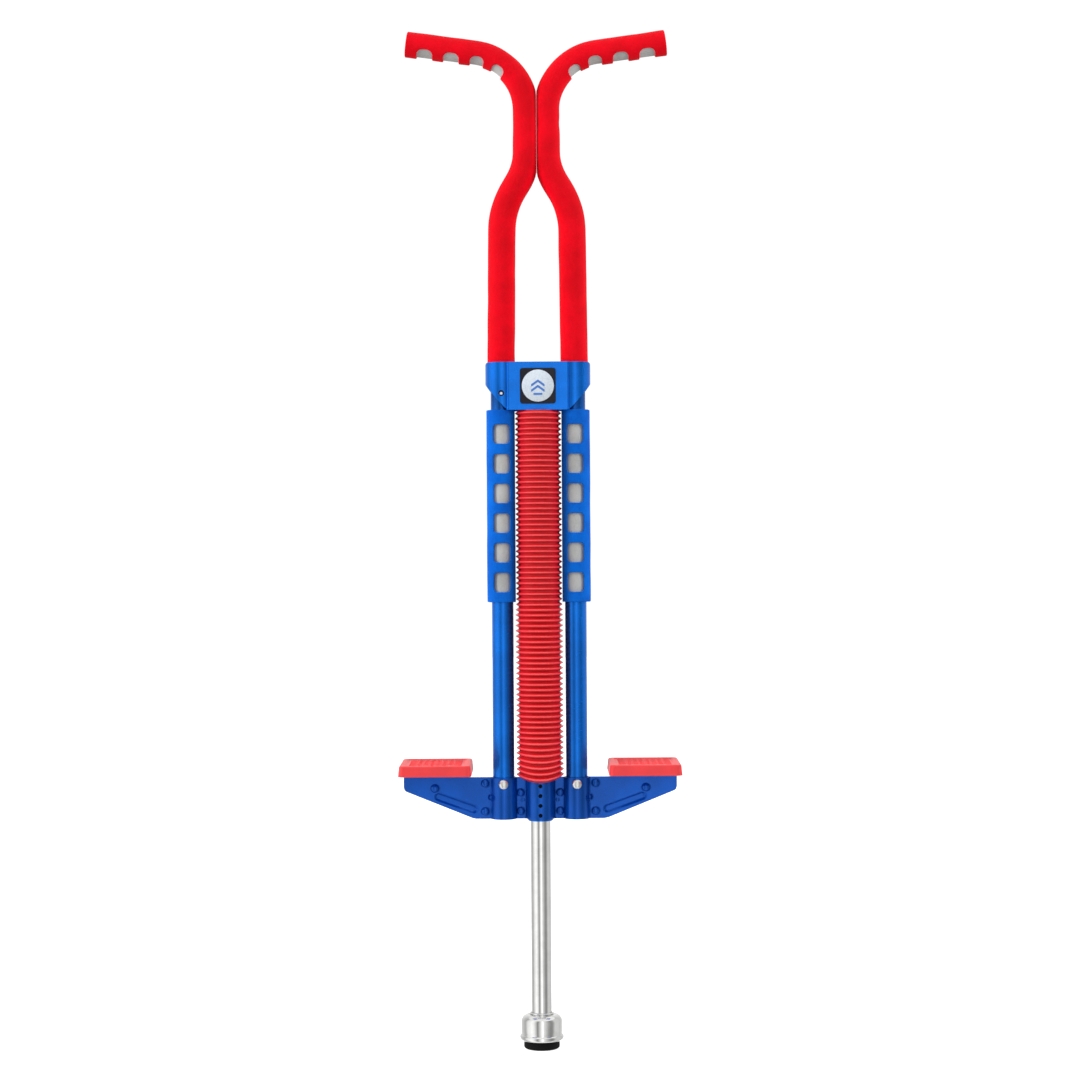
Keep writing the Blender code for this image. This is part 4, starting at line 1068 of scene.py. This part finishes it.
plate = {
    "sheetMiddle": 0.00095,  # from the mid-plane to the middle of the sheet
    "outside": 0.0008,
    "inside": -0.0004,
    "tubeChannel": 0.0121,
    "guideChannel": 0.01385,
    "fillet": 0.0022,
    "endHeight": 0.0133,
    "pedalInner": 0.03195,  # from the tube's centre
    "flatInset": 0.0019,
    "bends": (0.02, 0.005),
    "tab": (0.0054, 0.002),  # inset of its two ends
    "tabSlope": 0.0006,
    "dimple": (0.0048, 0.0005),  # radius and depth round each rivet
    "dimpleSlope": 0.0012,
    "rib": ((0.1037, 0.0225), (0.0686, 0.0098)),  # its ends: x, and height above the plates' bottom
    "ribFlat": 0.0022,
    "ribHalf": 0.0046,
    "ribDepth": 0.0022,
    "notch": (0.0496, 0.0218, 0.0042, 0.0020),
    "bump": (0.0172, 0.0192, 0.0026, 0.0009),
    "lube": (0.0042, 0.00993, 0.0021),  # first height, pitch and radius
    "lubeGap": 0.0002,
    "edge": 0.00025,
}
plateHalf = high("foot_plate_front").x
rivets = sorted((middle(n) for n in frame["nodes"] if n.startswith("rivet_")), key=lambda p: (p.x, p.z))


def channel(centre, radius):  # the sheet's middle line over one channel, with a fillet at each foot
    fillet, flat = plate["fillet"], plate["sheetMiddle"]
    reach = math.sqrt((radius + fillet) ** 2 - (flat + fillet) ** 2)
    touch = math.degrees(math.atan2(flat + fillet, reach))
    foot = (centre - reach, -flat - fillet)
    left = arc(foot, fillet, 90, -touch, 10)
    arch = arc((centre, 0), radius, 180 + touch, 360 - touch, 48)
    right = [Vector((2 * centre - p.x, p.y)) for p in reversed(left)]
    return left + arch[1:-1] + right


def plateLine():
    line = [Vector((-plateHalf, -plate["sheetMiddle"]))]
    line += channel(-halfSpacing, plate["tubeChannel"])
    line += channel(0, plate["guideChannel"])
    line += channel(halfSpacing, plate["tubeChannel"])
    line.append(Vector((plateHalf, -plate["sheetMiddle"])))
    return line


def capsule(x, z, a, b):  # distance to the stretch between two points
    ax, az, bx, bz = a[0], a[1], b[0], b[1]
    length = (bx - ax) ** 2 + (bz - az) ** 2
    t = np.clip(((x - ax) * (bx - ax) + (z - az) * (bz - az)) / length, 0, 1)
    return np.hypot(x - ax - t * (bx - ax), z - az - t * (bz - az))


def plateRelief(way):
    def relief(x, z):
        lift = np.zeros(np.shape(x))
        radius, depth = plate["dimple"]
        for spot in rivets:
            away = np.hypot(x - spot.x, z - spot.z)
            lift -= depth * (1 - smooth(away, radius - plate["dimpleSlope"], radius))
        for side in (-1, 1):
            ends = [(side * px, plateBottom + rise) for px, rise in plate["rib"]]
            away = capsule(x, z, *ends)
            lift -= way * plate["ribDepth"] * (1 - smooth(away, plate["ribFlat"], plate["ribHalf"]))
            for (px, rise, radius, size), sign in ((plate["notch"], -1), (plate["bump"], 1)):
                away = np.hypot(x - side * px, z - plateBottom - rise)
                lift += sign * size * (1 - smooth(away, 0.3 * radius, radius))
        return lift
    return relief


def plateHeights(across):
    pedalInner = halfSpacing + plate["pedalInner"]
    corners = (
        (0, plateBottom),
        (pedalInner - plate["flatInset"], plateBottom),
        (plateHalf, plateTop - plate["endHeight"]),
        (plateHalf, plateTop),
    )
    outline = Route(corners, plate["bends"], 3).points[1:-2]
    bottom = np.interp(across, outline[:, 0], outline[:, 1])
    inner, outer = pedalInner + plate["tab"][0], plateHalf - plate["tab"][1]
    reach = plate["tabSlope"]
    tab = smooth(across, inner - reach, inner + reach) * (1 - smooth(across, outer - reach, outer + reach))
    return bottom, plateTop + (tabTop - plateTop) * tab


def makePlates():
    line, normal = smoothLine(plateLine(), 0.0008)
    bottom, top = plateHeights(np.abs(line[:, 0]))
    first, pitch, radius = plate["lube"]
    heights = [plateBottom + first + k * pitch for k in range(4)]

    def lubeHoles(x, z):
        return np.min([np.hypot(x, z - h) for h in heights], axis=0) - radius

    offsets = (plate["outside"], plate["inside"])
    for name, way, holes in (("front", 1, lubeHoles), ("rear", -1, None)):
        sheet = bentSheet(f"foot_plate_skin_{name}", line, normal, bottom, top, 56, offsets,
                          plateRelief(way), holes, way)
        bevelled(sheet, plate["edge"])
        handOver(sheet, "frame", "blue_paint", platePaint, f"foot_plate_{name}")


def makeLubeHoleShade():  # painted shade: black discs just behind the four holes make them read dark inside
    first, pitch, radius = plate["lube"]
    thick = plate["lubeGap"]
    profile = [(0, 0), (radius - thick, 0), (radius - thick, thick), (0, thick)]
    shadeDiscs = []
    for k in range(4):
        shadeDiscs.append(turnedShape(f"plug{k}", profile, 24))
        turnedTo(shadeDiscs[-1], facing((0, low("guide_sleeve").y - 0.00005, plateBottom + first + k * pitch)))
    handOver(joined("lube_plugs", shadeDiscs), "frame", "black_rubber", rubber)


makePlates()
makeLubeHoleShade()
print("foot plates made")


# Geometry Nodes make what repeats or follows a rule
class Growth(Graph):  # a Geometry Nodes tree with named sizes
    def __init__(self, name, **sizes):
        super().__init__(bpy.data.node_groups.new(name, "GeometryNodeTree"))
        face = self.tree.interface
        face.new_socket("Geometry", in_out="INPUT", socket_type="NodeSocketGeometry")
        face.new_socket("Geometry", in_out="OUTPUT", socket_type="NodeSocketGeometry")
        kinds = {int: "NodeSocketInt", float: "NodeSocketFloat"}
        for size, value in sizes.items():
            face.new_socket(size, in_out="INPUT", socket_type=kinds[type(value)])
        self.sizes = sizes
        self.entry = self.tree.nodes.new("NodeGroupInput")
        self.exit = self.tree.nodes.new("NodeGroupOutput")

    def size(self, name):
        return Wire(self, self.entry.outputs[name])

    def vector(self, x, y, z):
        return self.add("ShaderNodeCombineXYZ", {0: x, 1: y, 2: z})

    def axes(self):
        return super().axes(self.add("GeometryNodeInputPosition"))

    def moved(self, geometry, x, y, z):
        return self.add("GeometryNodeSetPosition", {"Geometry": geometry, "Position": self.vector(x, y, z)})

    def copies(self, source, spots, **sockets):
        shape = self.add("GeometryNodeObjectInfo", {"Object": source, "As Instance": True}, output="Geometry")
        sockets = {"Points": spots, "Instance": shape, **sockets}
        return self.add("GeometryNodeInstanceOnPoints", sockets)

    def grown(self, name, geometry, material, base=None):  # runs the tree and keeps a plain mesh
        whole = self.add("GeometryNodeRealizeInstances", {0: geometry})
        painted = self.add("GeometryNodeSetMaterial", {0: whole, "Material": material})
        self.tree.links.new(painted.socket, self.exit.inputs[0])
        base = base or bpy.data.objects.new(name, bpy.data.meshes.new(name))
        scene.collection.objects.link(base)
        modifier = base.modifiers.new(name, "NODES")
        modifier.node_group = self.tree
        for item in self.tree.interface.items_tree:
            if item.in_out == "INPUT" and item.name in self.sizes:
                modifier[item.identifier] = self.sizes[item.name]
        return baked(base)


cover = {
    "bottom": low("spring_cover").z,
    "length": bracketBottom - 0.0012 - low("spring_cover").z,  # it hides the crown plate's rim
    "crest": high("spring_cover").x,
    "depth": 0.0034,
    "wall": 0.0008,
    "squeeze": 0.0008,
    "ridges": 69,
    "mesh": (88, 10),  # faces round it, and rows on each ridge
    "wobble": (0.00012, 0.00016),  # of each ridge's radius and height
    "droop": 0.0046,  # of the lowest ridges in front and behind
    "droopReach": 0.045,
}


def makeCover():
    g = Growth("ridged_cover", Ridges=cover["ridges"], Crest=cover["crest"], Depth=cover["depth"],
               Wall=cover["wall"], Length=cover["length"], Bottom=cover["bottom"])
    around, steps = cover["mesh"]
    ridges, crest, depth = g.size("Ridges"), g.size("Crest"), g.size("Depth")
    length, bottom = g.size("Length"), g.size("Bottom")
    root = crest - depth
    squeezed = low("pad_foam_left").z - cover["length"] / cover["ridges"]

    def band(rows, shape):  # a sheet rolled round the axis; shape gives radius and height from 0 to 1
        counts = {"Vertices X": around + 1, "Vertices Y": rows}
        grid = g.add("GeometryNodeMeshGrid", {"Size X": 1.0, "Size Y": 1.0, **counts})
        u, v, _ = g.axes()
        turn = (u + 0.5) * (2 * math.pi)
        radius, height = shape(v + 0.5)
        front = turn.math("SINE") ** 2.0
        fall = 1 - (height - bottom).between(0.0, cover["droopReach"])
        height = height - front * fall * cover["droop"]
        return g.moved(grid, turn.math("COSINE") * radius, turn.math("SINE") * radius, height)

    def ridged(v):
        phase = v * ridges
        index = phase.math("FLOOR")
        bounds = {2: -1.0, 3: 1.0, "ID": index, "Seed": 7}
        wobble = g.add("FunctionNodeRandomValue", bounds, output=1, data_type="FLOAT")
        wave = (0.5 - (phase * (2 * math.pi)).math("COSINE") * 0.5) ** 1.15
        height = bottom + v * length
        tight = (height - squeezed).between(0.0, 0.004) * cover["squeeze"]
        out, up = cover["wobble"]
        return root + wave * (depth - tight + wobble * out), height + wave * wobble * up

    bore = root - g.size("Wall")
    bands = [
        band(cover["ridges"] * steps + 1, ridged),
        band(2, lambda v: (root - v * g.size("Wall"), bottom + length)),
        band(cover["ridges"] + 1, lambda v: (bore, bottom + (1 - v) * length)),
        band(2, lambda v: (bore + v * g.size("Wall"), bottom)),
    ]
    whole = g.tree.nodes.new("GeometryNodeJoinGeometry")
    for part in reversed(bands):
        g.tree.links.new(part.socket, whole.inputs[0])
    together = Wire(g, whole.outputs[0])
    merged = g.add("GeometryNodeMergeByDistance", {"Geometry": together, "Distance": 0.000004})
    finish = coverFinish("red_cover", colors["cover"], colors["coverGrooveShade"], colors["coverPaintedHighlight"],
                         cover["crest"] - cover["depth"], cover["crest"] - 0.0006)
    piece = g.grown("spring_cover_skin", merged, finish)
    faceOut(piece.data)
    handOver(piece, "frame", "red_cover", finish, "spring_cover")


spring = {
    "bottom": low("spring").z,
    "top": high("spring").z,
    "wire": 0.0022,
    "radius": 0.0154,
    "coils": 26,
    "steps": 28,
}


def makeSpring():
    g = Growth("coil_spring", Coils=float(spring["coils"]), Radius=spring["radius"], Wire=spring["wire"],
               Low=spring["bottom"] + spring["wire"], High=spring["top"] - spring["wire"])
    coils, wire, lowest, highest = (g.size(name) for name in ("Coils", "Wire", "Low", "High"))
    line = g.add("GeometryNodeCurveSpiral", {"Resolution": spring["steps"], "Rotations": coils,
                                             "Start Radius": g.size("Radius"), "End Radius": g.size("Radius"),
                                             "Height": 1.0})
    x, y, share = g.axes()
    turn = share * coils
    closed = wire * 2.1
    ends = turn.math("MINIMUM", 1.0) + (turn - coils + 1.0).math("MAXIMUM", 0.0)
    opened = ((turn - 1.0) / (coils - 2.0)).math("MINIMUM", 1.0).math("MAXIMUM", 0.0)
    height = lowest + ends * closed + opened * (highest - lowest - closed * 2.0)
    bent = g.moved(line, x, y, height)
    ring = g.add("GeometryNodeCurvePrimitiveCircle", {"Resolution": 12, "Radius": wire})
    rod = g.add("GeometryNodeCurveToMesh", {"Curve": bent, "Profile Curve": ring, "Fill Caps": True})
    piece = g.grown("spring_coils", rod, zinc)
    handOver(piece, "frame", "zinc_steel", zinc, "spring")
    travel = next(j for j in frame["joints"] if j["name"] == "plunger_slide")["range_m"][1]
    full = spring["top"] - spring["bottom"]
    (full - travel) / full
    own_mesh(piece)


rivet = {"head": 0.0037, "dome": 0.0019, "shank": 0.002, "face": 0.00205, "sink": 0.0005}


def makeRivets():
    dome = [Vector((rivet["head"] * math.cos(t), rivet["face"] + rivet["dome"] * math.sin(t)))
            for t in np.linspace(math.pi / 2, 0, 9)]
    dome[0].x = 0
    under = rivet["face"] - rivet["sink"]
    half = [*dome, Vector((rivet["head"], under)), Vector((rivet["shank"], under))]
    profile = half + [Vector((p.x, -p.y)) for p in reversed(half)]
    source = turnedTo(turnedShape("rivet_source", profile, 32), facing((0, 0, 0)))
    spots = bpy.data.meshes.new("rivet_spots")
    spots.from_pydata([tuple(p) for p in rivets], [], [])
    base = bpy.data.objects.new("plate_rivets", spots)
    g = Growth("plate_rivets", Scale=1.0)
    copies = g.copies(source, Wire(g, g.entry.outputs[0]), Scale=g.size("Scale"))
    piece = g.grown("plate_rivets", copies, platePaint, base)
    bpy.data.objects.remove(source)
    nodes = [n for n in frame["nodes"] if n.startswith("rivet_")]
    handOver(piece, "frame", "blue_paint", platePaint, *nodes)


makeCover()
makeSpring()
makeRivets()
print("cover, spring and rivets made")


tread = {
    "wall": 0.003,
    "roof": 0.0043,
    "rim": 0.0065,
    "recess": 0.001,
    "draft": 0.0016,
    "corner": 0.006,
    "edge": 0.0016,
    "bar": (0.0095, 0.0022, 0.0007),  # length, width and height of each grip bar
    "barPitch": (0.0125, 0.0058),
    "barMargin": 0.005,
}


def treadShell(name):
    lowest, highest = low(f"pedal_tread_{name}"), high(f"pedal_tread_{name}")
    centre = ((lowest.x + highest.x) / 2, 0)
    length, depth = highest.x - lowest.x, highest.y - lowest.y
    bottom, top = lowest.z, highest.z
    corner, wall = tread["corner"], tread["wall"]

    def loop(inset, height, radius=None):
        radius = corner - inset if radius is None else radius
        return roundedLoop(length - 2 * inset, depth - 2 * inset, max(radius, 0.0008), height, centre)

    ceiling = top - tread["roof"]
    rings = [loop(wall, ceiling), loop(wall, bottom + 0.0004), loop(wall - 0.0004, bottom)]
    rings += [loop(0.0004, bottom), loop(0, bottom + 0.0004)]
    edge, draft = tread["edge"], tread["draft"]
    for t in np.linspace(0, math.pi / 2, 7):
        rings.append(loop(draft * 0.6 + edge * (1 - math.cos(t)), top - edge + edge * math.sin(t)))
    rim, recess = tread["rim"], tread["recess"]
    rings += [loop(rim - 0.0003, top, 0.0034), loop(rim, top - 0.0002, 0.0031)]
    rings += [loop(rim + 0.0006, top - recess + 0.0002, 0.0026), loop(rim + 0.0010, top - recess, 0.0022)]
    shell = stacked(f"pedal_tread_skin_{name}", rings, 50)
    return shell, centre, (length - 2 * rim, depth - 2 * rim), top - recess


def treadBars(name, centre, field, floor):  # staggered grip bars on the recessed top
    length, width, height = tread["bar"]
    rings = [roundedLoop(length, width, width / 2 - 0.00001, z, steps=5) for z in (-0.0004, height - 0.0003)]
    rings.append(roundedLoop(length - 0.0006, width - 0.0006, width / 2 - 0.00031, height, steps=5))
    source = stacked("bar_source", rings)
    pitchX, pitchY = tread["barPitch"]
    columns = int((field[0] - 2 * tread["barMargin"]) / pitchX)
    rows = int((field[1] - 2 * tread["barMargin"]) / pitchY) + 1
    g = Growth("grip_bars", Columns=columns, Rows=rows, PitchX=pitchX, PitchY=pitchY)
    wide, deep = g.size("Columns"), g.size("Rows")
    grid = g.add("GeometryNodeMeshGrid", {
        "Size X": (wide - 1.0) * g.size("PitchX"), "Size Y": (deep - 1.0) * g.size("PitchY"),
        "Vertices X": wide, "Vertices Y": deep})
    x, y, _ = g.axes()
    row = (y / g.size("PitchY") + 100.25 + (deep * 0.5)).math("FLOOR")
    stagger = (row.math("MODULO", 2.0) - 0.5) * g.size("PitchX") * 0.5
    spots = g.moved(grid, x + stagger + centre[0], y + centre[1], floor)
    piece = g.grown(f"pedal_bars_{name}", g.copies(source, spots), redPlastic)
    bpy.data.objects.remove(source)
    return piece


for name in sides:
    shell, centre, field, floor = treadShell(name)
    handOver(shell, "frame", "red_tread", redPlastic, f"pedal_tread_{name}")
    bars = treadBars(name, centre, field, floor)
    handOver(bars, "frame", "red_tread", redPlastic)
print("pedals made")


# CAD pieces that keep their own shape
plainNodes = {
    "blue_paint": (paint, ["pedal_platform_left", "pedal_platform_right"]),
    "zinc_steel": (zinc, ["handle_tube_left", "handle_tube_right", "bracket_screw_left",
                          "bracket_screw_right", "spring_washer", "cross_pin", "tube_nut_left",
                          "tube_nut_right", "pedal_screw_left_front", "pedal_screw_left_rear",
                          "pedal_screw_right_front", "pedal_screw_right_rear"]),
    "black_plastic": (blackPlastic, ["plunger_cap", "tube_collar_left", "tube_collar_right"]),
    "black_rubber": (rubber, ["rebound_bumper"]),
}
for finish, nodes in plainNodes.values():
    for node in nodes:
        painted(frame["nodes"][node], finish)


studio = {
    "distance": 2.4,
    "aside": 0.0012,
    "eye": 0.5177,
    "field": 1.1016,  # width seen at the stick's distance
    "sensor": 36.0,
    "roll": -0.36,
    "white": 1.05,
    # brightness of the panels in the gloss, by degrees round from the camera side, positive to the right
    "gloss": ((-180, 1.0), (-150, 0.85), (-126, 0.65), (-104, 0.5), (-87, 1.0), (-60, 1.3), (-47, 1.15),
              (-35, 0.75), (-24, 0.28), (-12, 0.75), (-3, 1.1), (5, 1.7), (13, 1.0), (24, 0.75), (38, 0.45),
              (52, 0.3), (64, 0.35), (80, 0.75), (104, 0.75), (126, 0.65), (150, 0.8), (180, 1.0)),
    # the same for the soft light
    "soft": ((-180, 0.4), (-90, 1.2), (-45, 0.5), (0, 0.42), (45, 0.42), (90, 0.95), (180, 0.4)),
    "below": 0.55,  # the light that comes up from the floor
    "floor": (8, -0.0002, -0.05),  # radius, height, and height of its hidden light
    "tent": (6.0, -9.0, 6.0),  # radius, bottom and top
    "lamps": {  # place, target, size and power
        "key": ((-2.5, -0.8, 1.3), (0, 0, 0.6), (0.7, 1.8), 62),
        "fill": ((2.5, -1.0, 1.2), (0, 0, 0.5), (0.7, 1.6), 40),
    },
}


def makeCamera():
    data = bpy.data.cameras.new("camera")
    data.sensor_width = studio["sensor"]
    data.lens = studio["sensor"] * studio["distance"] / studio["field"]
    data.clip_end = 50
    camera = linked("camera", data)
    roll = Matrix.Rotation(math.radians(studio["roll"]), 4, "Z")
    camera.matrix_world = facing((studio["aside"], -studio["distance"], studio["eye"])) @ roll
    scene.camera = camera


def softbox(name, place, target, size, power):
    data = bpy.data.lights.new(name, "AREA")
    data.shape = "RECTANGLE"
    data.size, data.size_y = size
    data.energy = power
    lamp = linked(name, data)
    lamp.visible_glossy = False
    lamp.location = place
    lamp.rotation_euler = (Vector(target) - Vector(place)).to_track_quat("-Z", "Y").to_euler()


def plainSheet(name, points, faces):
    mesh = bpy.data.meshes.new(name)
    mesh.from_pydata(points, [], faces)
    mesh.shade_smooth()
    sheet = linked(name, mesh)
    return sheet


def circle(radius, height, steps):
    turns = [2 * math.pi * k / steps for k in range(steps)]
    return [(radius * math.cos(turn), radius * math.sin(turn), height) for turn in turns]


def unseen(sheet, *rays):  # by these kinds of ray
    for ray in rays:
        setattr(sheet, "visible_" + ray, False)


def makeFloor():
    radius, level, under = studio["floor"]
    white = (1, 1, 1, 1)
    floor = plainSheet("floor", circle(radius, level, 64), [list(range(64))])
    unseen(floor, "glossy", "diffuse")
    f = Finish("floor", Roughness=0.9, Specular_IOR_Level=0.1, Emission_Color=white, Emission_Strength=0.6)
    cloud = f.noise(3, 2)
    f.drive(Base_Color=f.mix(cloud, (0.93, 0.93, 0.93), (0.95, 0.95, 0.95)))
    floor.data.materials.append(f.material)
    glow = plainSheet("floor_light", circle(radius, under, 64), [list(range(64))])
    unseen(glow, "camera", "glossy", "shadow")
    f = Finish("floor_light", Base_Color=(0, 0, 0, 1), Roughness=1.0, Emission_Color=white,
               Emission_Strength=studio["below"])
    glow.data.materials.append(f.material)


def makeTent(name, hiddenFrom):  # soft panels all round that light the stick or show in its gloss
    radius, bottom, top = studio["tent"]
    steps = 180
    points = circle(radius, bottom, steps) + circle(radius, top, steps)
    faces = [(k, (k + 1) % steps, steps + (k + 1) % steps, steps + k) for k in range(steps)]
    tent = plainSheet(name, points, faces)
    unseen(tent, "camera", "shadow", hiddenFrom)
    f = Finish(name, Base_Color=(0, 0, 0, 1), Roughness=1.0, Specular_IOR_Level=0.0, Emission_Strength=1.0)
    x, y, _ = f.axes()
    turn = x.math("ARCTAN2", y * -1) / (2 * math.pi) + 0.5
    stops = [((angle + 180) / 360, (level, level, level)) for angle, level in studio[name]]
    f.drive(Emission_Color=f.add("ShaderNodeValToRGB", {0: turn}, stops=stops))
    tent.data.materials.append(f.material)


def makeWorld():
    world = bpy.data.worlds.new("studio")
    scene.world = world
    world.use_nodes = True
    background = world.node_tree.nodes["Background"]
    background.inputs["Strength"].default_value = studio["white"]
    background.inputs["Color"].default_value = (1, 1, 1, 1)


makeCamera()
makeFloor()
makeTent("gloss", "diffuse")
makeTent("soft", "glossy")
makeWorld()
for name, lamp in studio["lamps"].items():
    softbox(name, *lamp)
scene.view_settings.view_transform = "Standard"
print("studio made")
